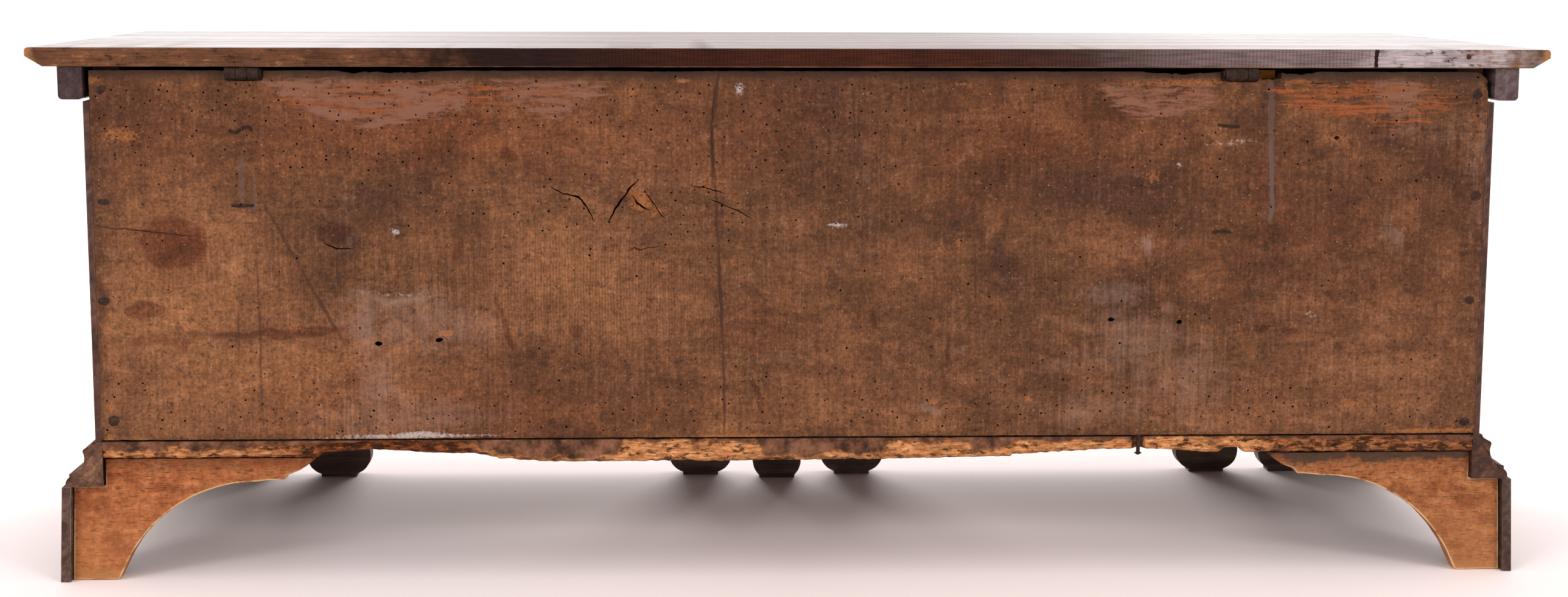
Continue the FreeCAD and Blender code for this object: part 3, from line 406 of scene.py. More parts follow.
def dress(piece, finish, body, replaced=()):
    """Gives a piece its finish, lets it ride on a body, and hides the CAD nodes it stands for."""
    for face in piece.data.polygons:
        face.use_smooth = True
    piece.data.set_sharp_from_angle(angle=SHARP_ANGLE)
    piece.data.materials.clear()
    piece.data.materials.append(finish)
    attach(piece, body)
    if replaced:
        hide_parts(*replaced)
    print(piece.name, len(piece.data.polygons), "faces")


print("arrises over", round(math.degrees(SHARP_ANGLE)), "degrees stay sharp")

# %% [markdown]
# Two centuries of use have rounded the arrises of every board and let them waver. A bevel alone would
# look machined. So the board is first divided every few centimetres and then bevelled, and noise pushes
# the bevel's points in. They only move inwards, so the board never grows past its solid. The faces of the
# bevel are marked as wear, for the finishes to find.

# %% Worn copy of a board
ARRIS_ANGLE = math.radians(35)
MERGE = 0.01 * MM


def worn_copy(node, arris, waver, step, seed, clamped=True):
    """A CAD board with rounded, wavering arrises; arris, waver and step are in millimetres."""
    shape = bmesh.new()
    shape.from_mesh(nodes[node].data)
    bmesh.ops.remove_doubles(shape, verts=shape.verts, dist=MERGE)
    bmesh.ops.dissolve_limit(shape, angle_limit=math.radians(0.5), verts=shape.verts, edges=shape.edges)
    low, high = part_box(node)
    long_way = max(range(3), key=lambda axis: high[axis] - low[axis])
    normal = Vector((0, 0, 0))
    normal[long_way] = 1.0
    cuts = int((high[long_way] - low[long_way]) / (step * MM))
    for cut in range(1, cuts):
        point = low.copy()
        point[long_way] += (high[long_way] - low[long_way]) * cut / cuts
        everything = shape.verts[:] + shape.edges[:] + shape.faces[:]
        bmesh.ops.bisect_plane(shape, geom=everything, plane_co=point, plane_no=normal)
    wear = shape.faces.layers.float.new("wear")
    pairs = [edge for edge in shape.edges if len(edge.link_faces) == 2]
    sharp = [edge for edge in pairs if edge.calc_face_angle() > ARRIS_ANGLE]
    made = bmesh.ops.bevel(
        shape, geom=sharp, offset=arris * MM, offset_type="OFFSET", segments=2, profile=0.6,
        affect="EDGES", clamp_overlap=clamped,
    )
    for face in made["faces"]:
        face[wear] = 1.0
    shape.normal_update()
    shift = Vector((seed * 7.3, seed * 3.1, seed * 5.7))
    moves = {}
    for vert in {vert for face in made["faces"] for vert in face.verts}:
        amount = abs(noise.noise(vert.co / (22 * MM) + shift))
        amount += 0.5 * abs(noise.noise(vert.co / (6 * MM) + shift))
        moves[vert] = vert.normal * (-amount * waver * MM)
    for vert, move in moves.items():
        vert.co += move
    return shape


print("arrises over", round(math.degrees(ARRIS_ANGLE)), "degrees are worn")

# %% [markdown]
# Facings, cleats, mouldings and plinth show their age only at the arrises, so they are worn copies.
# Their moulded and lobed outlines are already in the solids. One list gives their finishes and bodies.

# %% Worn facings, cleats, mouldings and plinth
for index, (node, finish, slot, body) in enumerate([
    ("left_end_facing", end_walnut, "facing_wood", "case"),
    ("right_end_facing", end_walnut, "facing_wood", "case"),
    ("front_facing", facing_walnut, "facing_wood", "case"),
    ("left_base_moulding", side_walnut, "moulding_wood", "case"),
    ("right_base_moulding", pale_walnut, "moulding_wood", "case"),
    ("front_base_moulding", moulding_walnut, "moulding_wood", "case"),
    ("front_apron", plinth_walnut, "apron_wood", "case"),
    ("left_side_apron", side_plinth, "apron_wood", "case"),
    ("right_side_apron", pale_plinth, "apron_wood", "case"),
    ("centre_foot_block", plinth_walnut, "apron_wood", "case"),
    ("left_lid_cleat", lit_cleat, "cleat_wood", "lid"),
    ("right_lid_cleat", dark_cleat, "cleat_wood", "lid"),
]):
    dress(put_object(f"worn_{node}", worn_copy(node, 1.2, 0.9, 24, index)), finish, body, [node])

# %% [markdown]
# The rear brackets are the raw side of the plinth: sawn orange wood with rows of short dark pores, pale
# along the cut edge, and dark under the bottom board, where a painted shadow lies. Height on the piece
# tells the shadowed upper edge, the paler leg and the rubbed foot apart, and noise makes the borders
# between them ragged.

# %% Sawn wood of the brackets
# These pores are 0.3 mm wide and 3 mm long; they too are drawn wider.
SAWN_PORE = 1.5


def sawn_bracket(name, dark, middle, light, shadow_tone, shadow_most):
    """Raw sawn walnut: low figure, pore dashes, painted shadow up top, paler leg and foot, pale arrises."""
    finish, tree, shader, place = start_finish(name)
    height = add(tree, "SeparateXYZ", {"Vector": place}).node.outputs["Z"]
    along = add(
        tree, "Mapping", {"Vector": place, "Rotation": (0, math.radians(6), 0), "Scale": (0.12, 1, 1)},
    )
    blots = add(
        tree, "TexNoise", {"Vector": place, "Scale": per_metre(26), "Detail": 7.0, "Roughness": 0.7},
    )
    bands = add(
        tree, "TexNoise", {"Vector": along, "Scale": per_metre(12), "Detail": 5.0, "Roughness": 0.6},
    )
    tone = add(tree, "Mix", {"Factor": 0.35, "A": blots, "B": bands})
    colour = add(tree, "ValToRGB", {"Fac": tone}, stops=[(0.4, dark), (0.5, middle), (0.61, light)])
    pores = add(tree, "TexNoise", {"Vector": along, "Scale": per_metre(SAWN_PORE), "Detail": 2.0})
    pores = add(tree, "MapRange", {"Value": pores, "From Min": 0.56, "From Max": 0.68, "To Max": 0.7})
    colour = add(tree, "Mix", {"Factor": pores, "A": colour, "B": "#43200f"}, data_type="RGBA")
    grit = add(
        tree, "TexNoise", {"Vector": place, "Scale": per_metre(4), "Detail": 5.0, "Roughness": 0.75},
    )
    colour = shaded(tree, colour, grit, 0.3, 0.7, 0.58, 1.42)
    ragged = add(tree, "Math", {0: blots, 1: 40 * MM, 2: height}, operation="MULTIPLY_ADD")
    shadow_height = add(tree, "Math", {0: tone, 1: 90 * MM, 2: height}, operation="MULTIPLY_ADD")
    # Painted shadow: a dark band along the top, under the bottom board and the moulding.
    colour = coated(tree, colour, shadow_tone, shadow_height, 166 * MM, 177 * MM, shadow_most)
    colour = coated(tree, colour, light, ragged, 120 * MM, 60 * MM, 0.3)
    colour = coated(tree, colour, "#a87a4c", ragged, 36 * MM, 22 * MM, 0.55)
    wear = add(tree, "Attribute", attribute_name="wear").node.outputs["Fac"]
    rubbed = add(tree, "MapRange", {"Value": blots, "From Min": 0.38, "From Max": 0.52, "To Max": 0.9})
    wear = add(tree, "Math", {0: wear, 1: rubbed}, operation="MULTIPLY")
    # The pale arrises stop below the painted shadow.
    below_shadow = add(tree, "MapRange", {"Value": height, "From Min": 126 * MM, "From Max": 112 * MM})
    wear = add(tree, "Math", {0: wear, 1: below_shadow}, operation="MULTIPLY")
    colour = add(tree, "Mix", {"Factor": wear, "A": colour, "B": "#b79369"}, data_type="RGBA")
    relief = add(tree, "Math", {0: bands, 1: pores}, operation="SUBTRACT")
    relief = add(tree, "Bump", {"Height": relief, "Strength": 0.6, "Distance": 0.6 * MM})
    join(
        tree, shader,
        {"Base Color": colour, "Roughness": 0.8, "Specular IOR Level": 0.15, "Normal": relief},
    )
    return finish


print("pores of the brackets are drawn", SAWN_PORE, "mm wide")

# %% [markdown]
# The bracket on the photograph's right is drier and more yellow, so the same recipe is mixed twice.
# Their scrolled edge was cut with a narrow saw and has worn round, so its bevel is wider than elsewhere.

# %% Rear brackets
# The last two values are the tone and strength of the painted shadow under the bottom board.
orange_walnut = sawn_bracket("orange_sawn_walnut", "#6f391d", "#8a502d", "#a3673f", "#4a2712", 0.55)
golden_walnut = sawn_bracket("golden_sawn_walnut", "#6f3d20", "#885330", "#97643e", "#33261e", 0.9)
for index, (side, finish) in enumerate((("left", golden_walnut), ("right", orange_walnut))):
    node = f"{side}_rear_bracket"
    piece = put_object(f"worn_{node}", worn_copy(node, 2.2, 1.2, 9, 20 + index, clamped=False))
    dress(piece, finish, "case", [node])

# %% [markdown]
# The lid is one plank. Its top was waxed, its rear edge was not, and its underside was left bare.
# Three materials on three sets of faces could show that, but their borders would be straight.
# So one finish reads its place on the lid, and first come the walnut's own figure, fibres and blots.

# %% Finish of the lid, figure
lid_low, lid_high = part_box("lid_board")
lid_walnut, tree, shader, place = start_finish("waxed_walnut_lid")
# Waxed walnut: dark red-brown figure under a glossy skin, dry and dirty on the edge and underneath.
apart = add(tree, "SeparateXYZ", {"Vector": place})
along = add(tree, "Mapping", {"Vector": place, "Scale": (0.05, 1, 1)})
bands = add(
    tree, "TexNoise",
    {"Vector": along, "Scale": per_metre(30), "Detail": 7.0, "Roughness": 0.62, "Distortion": 0.8},
)
fibres = add(
    tree, "TexNoise", {"Vector": along, "Scale": per_metre(1.8), "Detail": 3.0, "Roughness": 0.65},
)
blots = add(tree, "TexNoise", {"Vector": place, "Scale": per_metre(40), "Detail": 6.0, "Roughness": 0.7})
colour = add(
    tree, "ValToRGB", {"Fac": bands},
    stops=[(0.3, "#23110a"), (0.45, "#452316"), (0.56, "#613924"), (0.7, "#794f30")],
)
print("figure of the lid:", len(tree.nodes), "nodes")

# %% [markdown]
# Along the rear edge the colour changes from brown to nearly black to a grey, crackled skin, whose pale
# grey is partly a painted sheen.
# A ramp that is read along the length gives these tones, and noise shifts its borders.
# Scraper marks, scars and one split lie over it.

# %% Finish of the lid, rear edge
# Tones from the -X end to the +X end; the pale greys near the -X end are crackled skin and painted sheen.
share = add(
    tree, "MapRange",
    {"Value": apart.node.outputs["X"], "From Min": lid_low.x, "From Max": lid_high.x},
)
share = add(tree, "Math", {0: blots, 1: 0.12, 2: share}, operation="MULTIPLY_ADD")
edge = add(
    tree, "ValToRGB", {"Fac": share},
    stops=[(0.06, "#47342d"), (0.1, "#887b7a"), (0.16, "#988c8c"), (0.18, "#827474"), (0.2, "#625351"),
           (0.31, "#584846"), (0.37, "#35221d"), (0.44, "#34190f"), (0.54, "#34170c"), (0.7, "#26110a"),
           (0.73, "#1a0e0c"), (0.78, "#21110b"), (0.83, "#4e3020"), (1.0, "#563725")],
)
# A scraper left upright ripples on the middle of the edge; they are 2 mm apart and drawn at 4 mm.
ripples = add(
    tree, "TexWave", {"Vector": place, "Scale": WAVE_REPEAT / (4 * MM), "Distortion": 1.6, "Detail": 2.0},
    wave_type="BANDS", bands_direction="X",
)
ripples = add(tree, "MapRange", {"Value": ripples, "To Min": 0.78, "To Max": 1.12})
for start, end in ((0.74, 0.68), (0.17, 0.2)):
    scraped = add(
        tree, "MapRange",
        {"Value": share, "From Min": start, "From Max": end, "To Min": 1.0, "To Max": 0.0},
    )
    ripples = add(tree, "Mix", {"Factor": scraped, "A": ripples, "B": 1.0})
edge = add(tree, "Mix", {"Factor": 1.0, "A": edge, "B": ripples}, data_type="RGBA", blend_type="MULTIPLY")
# Scars: flakes of varnish are gone from the grey end, and the brown end has tan chips and black bruises.
drawn = add(tree, "Mapping", {"Vector": place, "Scale": (0.4, 1, 1)})
scars = add(tree, "TexNoise", {"Vector": drawn, "Scale": per_metre(8), "Detail": 7.0, "Roughness": 0.78})
for start, end, first, last, tone, most in (
    (0.54, 0.61, 0.21, 0.15, "#2a1b16", 0.85), (0.5, 0.56, 0.115, 0.095, "#7c4d2a", 0.7),
    (0.56, 0.66, 0.78, 0.84, "#875830", 0.75), (0.45, 0.36, 0.78, 0.84, "#1a0d08", 0.8),
):
    cover = add(tree, "MapRange", {"Value": scars, "From Min": start, "From Max": end, "To Max": most})
    stretch = add(tree, "MapRange", {"Value": share, "From Min": first, "From Max": last})
    cover = add(tree, "Math", {0: cover, 1: stretch}, operation="MULTIPLY")
    edge = add(tree, "Mix", {"Factor": cover, "A": edge, "B": tone}, data_type="RGBA")
# One split crosses the edge where the grey stretch begins.
SPLIT_PLACE = -0.628
split = add(tree, "Math", {0: scars, 1: 0.008, 2: apart.node.outputs["X"]}, operation="MULTIPLY_ADD")
split = add(tree, "Math", {0: split, 1: SPLIT_PLACE, 2: 2.2 * MM}, operation="COMPARE")
edge = add(tree, "Mix", {"Factor": split, "A": edge, "B": "#20120d"}, data_type="RGBA")
print("with its rear edge:", len(tree.nodes), "nodes")

# %% [markdown]
# Now the parts meet. The rear edge and the underside are picked by depth and height, a millimetre or two
# wide. Rubbed arrises and the two tips show raw wood.

# %% Finish of the lid, edge, underside and tips
rim = add(
    tree, "MapRange",
    {
        "Value": apart.node.outputs["Y"], "From Min": lid_high.y - 2.2 * MM,
        "From Max": lid_high.y - 1.2 * MM,
    },
)
colour = add(tree, "Mix", {"Factor": rim, "A": colour, "B": edge}, data_type="RGBA")
under = add(
    tree, "MapRange",
    {
        "Value": apart.node.outputs["Z"], "From Min": lid_low.z + 1.4 * MM,
        "From Max": lid_low.z + 0.5 * MM,
    },
)
# Underneath the board is planed but bare: the same figure, paler and without wax.
bare = add(
    tree, "ValToRGB", {"Fac": bands},
    stops=[(0.34, "#3b2417"), (0.47, "#573a27"), (0.58, "#6a4a34"), (0.7, "#7a5a42")],
)
colour = add(tree, "Mix", {"Factor": under, "A": colour, "B": bare}, data_type="RGBA")
for source, low, high in ((fibres, 0.62, 1.4), (blots, 0.7, 1.3)):
    colour = shaded(tree, colour, source, 0.3, 0.7, low, high)
wear = add(tree, "Attribute", attribute_name="wear").node.outputs["Fac"]
rubbed = add(tree, "MapRange", {"Value": blots, "From Min": 0.5, "From Max": 0.58, "To Max": 0.9})
wear = add(tree, "Math", {0: wear, 1: rubbed}, operation="MULTIPLY")
colour = add(tree, "Mix", {"Factor": wear, "A": colour, "B": "#83553a"}, data_type="RGBA")
tips = add(tree, "Math", {0: apart.node.outputs["X"]}, operation="ABSOLUTE")
tips = add(tree, "Math", {0: blots, 1: 0.03, 2: tips}, operation="MULTIPLY_ADD")
tips = add(
    tree, "MapRange", {"Value": tips, "From Min": lid_high.x + 2 * MM, "From Max": lid_high.x + 10 * MM},
)
tips = add(tree, "Math", {0: tips, 1: rim}, operation="MULTIPLY")
colour = add(tree, "Mix", {"Factor": tips, "A": colour, "B": "#875d3b"}, data_type="RGBA")
print("with its underside and tips:", len(tree.nodes), "nodes")

# %% [markdown]
# At the camera's flat angle the waxed top still mirrors the white studio. A clear coat on the shader does
# that, and it costs no light of its own. Its weight follows the height, so that only the upper side has
# it, and it is rubbed away in streaks and along the middle.

# %% Lid board
top = add(
    tree, "MapRange",
    {
        "Value": apart.node.outputs["Z"], "From Min": lid_high.z - 1.4 * MM,
        "From Max": lid_high.z - 0.4 * MM,
    },
)
wax = add(tree, "Math", {0: fibres, 1: bands}, operation="MULTIPLY")
wax = add(
    tree, "MapRange", {"Value": wax, "From Min": 0.2, "From Max": 0.34, "To Min": 1.0, "To Max": 0.55},
)
wax = add(tree, "Math", {0: wax, 1: top}, operation="MULTIPLY")
worn_middle = add(tree, "Math", {0: apart.node.outputs["X"]}, operation="ABSOLUTE")
worn_middle = add(
    tree, "MapRange",
    {"Value": worn_middle, "From Min": 0.2, "From Max": 0.55, "To Min": 0.6, "To Max": 1.0},
)
wax = add(tree, "Math", {0: wax, 1: worn_middle}, operation="MULTIPLY")
relief = add(tree, "Math", {0: fibres, 1: bands}, operation="ADD")
relief = add(tree, "Bump", {"Height": relief, "Strength": 0.4, "Distance": 0.5 * MM})
join(tree, shader, {"Base Color": colour, "Roughness": 0.6, "Specular IOR Level": 0.06, "Normal": relief})
join(tree, shader, {"Coat Weight": wax, "Coat Roughness": 0.07})
lid = put_object("worn_lid_board", worn_copy("lid_board", 1.2, 1.0, 20, 31))
dress(lid, lid_walnut, "lid", ["lid_board"])

# %% [markdown]
# The back is one wide plank, sawn by hand and never planed. It gets its own shape, because its edges are
# eaten. A section is drawn at each station along the chest and the sections are joined, like the ribs of
# a boat. The top edge has rotted in places, and one upper corner has worn round.

# %% Section of the back plank
back_low, back_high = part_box("back_board")
REAR = back_high.y
# Rotted stretches of the top edge: middle, half length and lost height, in millimetres.
ROTTED = [(436, 60, 3.2), (480, 14, 3.0), (-420, 44, 4.0), (-548, 22, 5.0), (150, 60, 1.0)]
# Heights of the section's points on the rear face, as shares: even, with a few more at the two arrises.
RISE = [0, 0.002] + [step / 118 for step in range(1, 118)] + [0.995, 0.998, 1]


def rough(x, z, size, layer):
    """Smooth noise from -1 to 1 with features of this many millimetres."""
    return noise.noise(Vector((x / size, layer * 7.7, z / size)))


def plank_section(x):
    """The plank's outline at x, in millimetres: up the rear face, then down the inner one."""
    lost = 0.5 + 0.9 * abs(rough(x, 0, 11, 1))
    for middle, reach, depth in ROTTED:
        near = max(0, 1 - abs(x - middle) / reach)
        lost += depth * near ** 0.7 * (0.5 + abs(rough(x, 0, 6, 2)))
    corner = max(0, -744 - x)
    lost += 9 * (corner / 15) ** 2
    bottom = back_low.z / MM + 0.8 * abs(rough(x, 0, 14, 3))
    top = back_high.z / MM - lost
    section = []
    for share in RISE:
        z = bottom + (top - bottom) * share
        sunk = 0.35 * abs(rough(x, z, 60, 4)) + 0.12 * abs(rough(x, z, 9, 5))
        rounding = math.exp(-(top - z) / (1.2 + 0.8 * lost))
        sunk += (0.6 + 0.5 * lost) * rounding * (0.7 + abs(rough(x, z, 4, 6)))
        sunk += 0.9 * math.exp(-(z - bottom) / 1.5)
        section.append((REAR / MM - sunk, z))
    inner = back_low.y / MM
    return section + [(inner, top - 0.8), (inner, bottom + 0.8)]


print("one section has", len(plank_section(0)), "points")

# %% [markdown]
# The sections are drawn every few millimetres, close enough for the marks that are stored at their points
# later. A skin joins each ring of points to the next, and two end faces close the shape.

# %% Back plank
def lofted(stations, section):
    """Joins the outlines at all stations to one closed shape, in metres."""
    shape = bmesh.new()
    rings = []
    for x in stations:
        rings.append([shape.verts.new((x * MM, y * MM, z * MM)) for y, z in section(x)])
    for ring, after in zip(rings, rings[1:]):
        for index in range(len(ring)):
            beside = (index + 1) % len(ring)
            shape.faces.new((ring[index], ring[beside], after[beside], after[index]))
    shape.faces.new(rings[0])
    shape.faces.new(rings[-1])
    bmesh.ops.recalc_face_normals(shape, faces=shape.faces)
    return shape


PLANK_STEP = 3.5
half_plank = back_high.x / MM
count = round(2 * half_plank / PLANK_STEP)
stations = [-half_plank + 2 * half_plank * index / count for index in range(count + 1)]
plank = put_object("weathered_back_board", lofted(stations, plank_section))
print("plank with", len(stations), "stations")

# %% [markdown]
# What is missing from the plank is cut out of it: the seats of the hinge barrels, a broken notch, old
# nail holes, knots whose heart has crumbled, and drying cracks. They could be painted, but real hollows
# stay dark and deep from every side. First come the shapes to cut with: straight blocks, ragged holes and
# shallow hollows.

# %% Shapes to cut away
dice = random.Random(7)


def prism(corners, near, far):
    """A closed block with these corners on the rear face, between two depths; all in millimetres."""
    shape = bmesh.new()
    outside = [shape.verts.new((x * MM, REAR - near * MM, z * MM)) for x, z in corners]
    inside = [shape.verts.new((x * MM, REAR - far * MM, z * MM)) for x, z in corners]
    shape.faces.new(outside)
    shape.faces.new(inside)
    for index in range(len(corners)):
        beside = (index + 1) % len(corners)
        shape.faces.new((outside[index], outside[beside], inside[beside], inside[index]))
    bmesh.ops.recalc_face_normals(shape, faces=shape.faces)
    return shape


def old_hole(x, z, half_x, half_z):
    """A ragged round hole left by a nail."""
    corners = []
    for step in range(9):
        turn = step * math.tau / 9
        reach = dice.uniform(0.8, 1.15)
        corners.append((x + half_x * reach * math.cos(turn), z + half_z * reach * math.sin(turn)))
    return prism(corners, -2, 15)


def crumbled(x, z, half_x, half_z, depth):
    """A shallow ragged hollow."""
    shape = bmesh.new()
    bmesh.ops.create_icosphere(shape, subdivisions=3, radius=1.0)
    for vert in shape.verts:
        swell = 1 + 0.35 * noise.noise(vert.co * 2.2 + Vector((x, z, 0)))
        vert.co = Vector(
            (x + vert.co.x * half_x * swell, vert.co.y * depth, z + vert.co.z * half_z * swell),
        )
        vert.co = vert.co * MM + Vector((0, REAR, 0))
    return shape


print("shapes to cut with:", prism.__name__, old_hole.__name__, crumbled.__name__)

# %% [markdown]
# Wood cracks as it dries. A crack is a thin wedge along a few points, widest in the middle, with a ragged
# line. A curve with a bevel could make it too, but a wedge of three points a step is closed and cuts
# cleanly.

# %% Shape of a crack
# Millimetres between the points of a crack.
CRACK_STEP = 5


def crack(points, half_width, depth):
    """A wedge that follows a line of points and thins out at both ends."""
    path = []
    for (x0, z0), (x1, z1) in zip(points, points[1:]):
        steps = max(1, round(math.hypot(x1 - x0, z1 - z0) / CRACK_STEP))
        for step in range(steps):
            path.append((x0 + (x1 - x0) * step / steps, z0 + (z1 - z0) * step / steps))
    path.append(points[-1])
    shape = bmesh.new()
    rings = []
    for index, (x, z) in enumerate(path):
        before = path[max(0, index - 1)]
        after = path[min(len(path) - 1, index + 1)]
        run = math.hypot(after[0] - before[0], after[1] - before[1])
        side_x = -(after[1] - before[1]) / run
        side_z = (after[0] - before[0]) / run
        open_share = math.sin(math.pi * (index + 0.4) / (len(path) - 0.2)) ** 0.6
        wide = half_width * open_share * dice.uniform(0.55, 1.3) + 0.1
        x += side_x * dice.uniform(-0.8, 0.8)
        z += side_z * dice.uniform(-0.8, 0.8)
        deep = depth * (0.25 + 0.75 * open_share)
        rings.append([
            shape.verts.new(((x + side_x * wide) * MM, REAR + 2 * MM, (z + side_z * wide) * MM)),
            shape.verts.new(((x - side_x * wide) * MM, REAR + 2 * MM, (z - side_z * wide) * MM)),
            shape.verts.new((x * MM, REAR - deep * MM, z * MM)),
        ])
    for ring, after in zip(rings, rings[1:]):
        for index in range(3):
            beside = (index + 1) % 3
            shape.faces.new((ring[index], ring[beside], after[beside], after[index]))
    shape.faces.new(rings[0])
    shape.faces.new(rings[-1])
    bmesh.ops.recalc_face_normals(shape, faces=shape.faces)
    return shape


print("a crack has a point every", CRACK_STEP, "mm")

# %% [markdown]
# A Boolean modifier takes the shapes away. The shapes of one cut must not touch each other, so cracks
# that cross are cut one after another. The modifier's result is kept as a plain mesh.

# %% Carving
def carve(piece, shapes):
    """Cuts shapes that do not touch each other out of a piece."""
    mesh = bpy.data.meshes.new("cutter")
    whole = bmesh.new()
    for shape in shapes:
        shape.to_mesh(mesh)
        shape.free()
        whole.from_mesh(mesh)
    whole.to_mesh(mesh)
    whole.free()
    cutter = bpy.data.objects.new("cutter", mesh)
    scene.collection.objects.link(cutter)
    modifier = piece.modifiers.new("carve", "BOOLEAN")
    modifier.operation = "DIFFERENCE"
    modifier.solver = "MANIFOLD"
    modifier.object = cutter
    carved = bpy.data.meshes.new_from_object(piece.evaluated_get(bpy.context.evaluated_depsgraph_get()))
    piece.modifiers.remove(modifier)
    piece.data = carved
    bpy.data.objects.remove(cutter)
    print(piece.name, "after carving:", len(carved.polygons), "faces")


print("plank before carving:", len(plank.data.polygons), "faces")

# %% [markdown]
# The places were read off the photograph through the camera, in millimetres on the plank's rear face.
# The seats of the hinge barrels follow the hinge pins, so they stay right if the hinges move.

# %% Seats, notch, holes, knots and cracks
# A height above the plank, and the height of a seat's floor.
ABOVE = 580
SEAT_FLOOR = 551.4
hollows = []
for side in ("left", "right"):
    low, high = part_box(f"{side}_hinge_pin")
    x0 = low.x / MM - 1
    x1 = high.x / MM + 1
    z0 = SEAT_FLOOR
    corners = [
        (x0, ABOVE), (x0 - 0.6, z0 + 4), (x0 + 1.2, z0), ((x0 + x1) / 2, z0 - 0.7), (x1 - 1.5, z0 + 0.3),
        (x1 + 0.5, z0 + 3), (x1, ABOVE),
    ]
    hollows.append(prism(corners, -5, 4.9))
carve(plank, hollows)
NOTCH = [
    (-505.5, ABOVE), (-505, 556), (-509, 553.4), (-516, 554.2), (-521, 553.2), (-525.5, 555),
    (-529, 554.5), (-534, ABOVE),
]
carve(plank, [prism(NOTCH, -5, 40)])
carve(plank, [
    old_hole(457, 265, 4.6, 3), old_hole(391, 269, 4.4, 2.8), old_hole(-348, 289, 4.2, 2.4),
    old_hole(-424, 286, 3.4, 2.8),
])
carve(plank, [
    crumbled(183, 424, 15, 8, 1.7), crumbled(160, 410, 11, 5, 1.5), crumbled(95, 440, 13, 8, 1.4),
    crumbled(252, 421, 9, 5, 1.6), crumbled(505, 384, 18, 10, 0.8), crumbled(-618, 194, 12, 4, 1.2),
    crumbled(728, 492, 9, 5, 1.2), crumbled(748, 553, 8, 5, 2.0), crumbled(383, 275, 6, 2.4, 1.0),
    crumbled(-548, 547, 16, 5, 2.2), crumbled(-593, 490, 3.5, 2.4, 4.0),
])
carve(plank, [
    crack([(756, 394), (720, 391), (680, 386), (647, 383)], 0.5, 3),
    crack([(516, 381), (513, 376), (507, 373), (500, 370), (494, 369), (482, 369)], 1.1, 6),
    crack([(270, 437), (258, 431), (246, 427), (238, 425), (231, 418), (226, 409), (220, 398)], 1.3, 7),
    crack([(172, 446), (186, 430), (198, 412), (206, 398)], 1.7, 7),
    crack([(118, 439), (104, 436), (90, 433), (76, 428)], 1.0, 4),
    crack([(97, 424), (80, 417), (64, 410), (48, 401)], 0.9, 5),
    crack([(186, 366), (178, 370), (171, 368), (150, 372)], 0.9, 4),
    crack([(90, 559), (93, 500), (92, 460)], 0.4, 2),
    crack([(-541, 552), (-560, 549), (-590, 551)], 0.6, 3),
])
carve(plank, [
    crack([(181, 428), (174, 419), (168, 414), (160, 412)], 1.8, 7),
    crack([(166, 432), (158, 420), (146, 403)], 1.2, 6),
])

# %% [markdown]
# Worm holes, nails and clenched points repeat, so Geometry Nodes make them. Three helpers serve all
# three. One starts a tree with named inputs, so that sizes can be changed from outside. One ends it in
# plain geometry with a material. The last runs the tree once and keeps the result as a plain mesh, which
# exports safely.

# %% Tools for geometry trees
def new_tree(name, inputs):
    """A node tree for geometry with named inputs; returns it with its input node's outputs by name."""
    tree = bpy.data.node_groups.new(name, "GeometryNodeTree")
    tree.interface.new_socket("Geometry", in_out="INPUT", socket_type="NodeSocketGeometry")
    for key, kind in inputs.items():
        tree.interface.new_socket(key, in_out="INPUT", socket_type=kind)
    tree.interface.new_socket("Geometry", in_out="OUTPUT", socket_type="NodeSocketGeometry")
    start = tree.nodes.new("NodeGroupInput")
    return tree, {socket.name: socket for socket in start.outputs if socket.name}


def close_tree(tree, geometry, finish):
    """Ends a tree in plain geometry with its finish."""
    geometry = add(tree, "GeometryNodeRealizeInstances", {"Geometry": geometry})
    geometry = add(tree, "GeometryNodeSetMaterial", {"Geometry": geometry, "Material": finish})
    add(tree, "NodeGroupOutput", {"Geometry": geometry})


def grow(name, mesh, tree, values):
    """Runs a tree on a mesh once and keeps what it makes as a plain object."""
    piece = bpy.data.objects.new(name, mesh)
    scene.collection.objects.link(piece)
    modifier = piece.modifiers.new("grow", "NODES")
    modifier.node_group = tree
    for item in tree.interface.items_tree:
        if item.in_out == "INPUT" and item.name in values:
            modifier[item.identifier] = values[item.name]
    grown = bpy.data.meshes.new_from_object(piece.evaluated_get(bpy.context.evaluated_depsgraph_get()))
    piece.modifiers.remove(modifier)
    piece.data = grown
    return piece


print("tools for trees:", new_tree.__name__, close_tree.__name__, grow.__name__)

# %% [markdown]
# Furniture beetles have left hundreds of exit holes, 1.5 mm wide and drawn at about 2 mm so that they
# show. Most are near the top and the bottom. A plain sheet over the rear face carries an attribute
# that says how thickly they stand at each place. Single holes could be listed one by one, but nobody
# would see the difference from a fair scatter.

# %% Where the beetles went
def worm_share(x, z):
    """How thickly worm holes stand at a place on the plank, from 0 to 1."""
    top = math.exp(-(((z - 520) / 62) ** 2)) * (1.0 if x > -150 else 0.4)
    bottom = 0.75 * math.exp(-(((z - 185) / 45) ** 2))
    cluster = 0.6 * math.exp(-(((x - 150) / 130) ** 2 + ((z - 410) / 50) ** 2))
    share = top + bottom + cluster + 0.07
    return share * (0.45 + 1.1 * max(0, 0.5 + rough(x, z, 70, 8)))


sheet_shape = bmesh.new()
bmesh.ops.create_grid(sheet_shape, x_segments=60, y_segments=18, size=1.0)
worms = sheet_shape.verts.layers.float.new("worms")
for vert in sheet_shape.verts:
    x = vert.co.x * (half_plank - 6)
    z = 361 + vert.co.y * 196
    vert.co = Vector((x * MM, REAR, z * MM))
    vert[worms] = worm_share(x, z)
sheet_mesh = bpy.data.meshes.new("worm_sheet")
sheet_shape.to_mesh(sheet_mesh)
sheet_shape.free()
print("sheet with", len(sheet_mesh.vertices), "points")

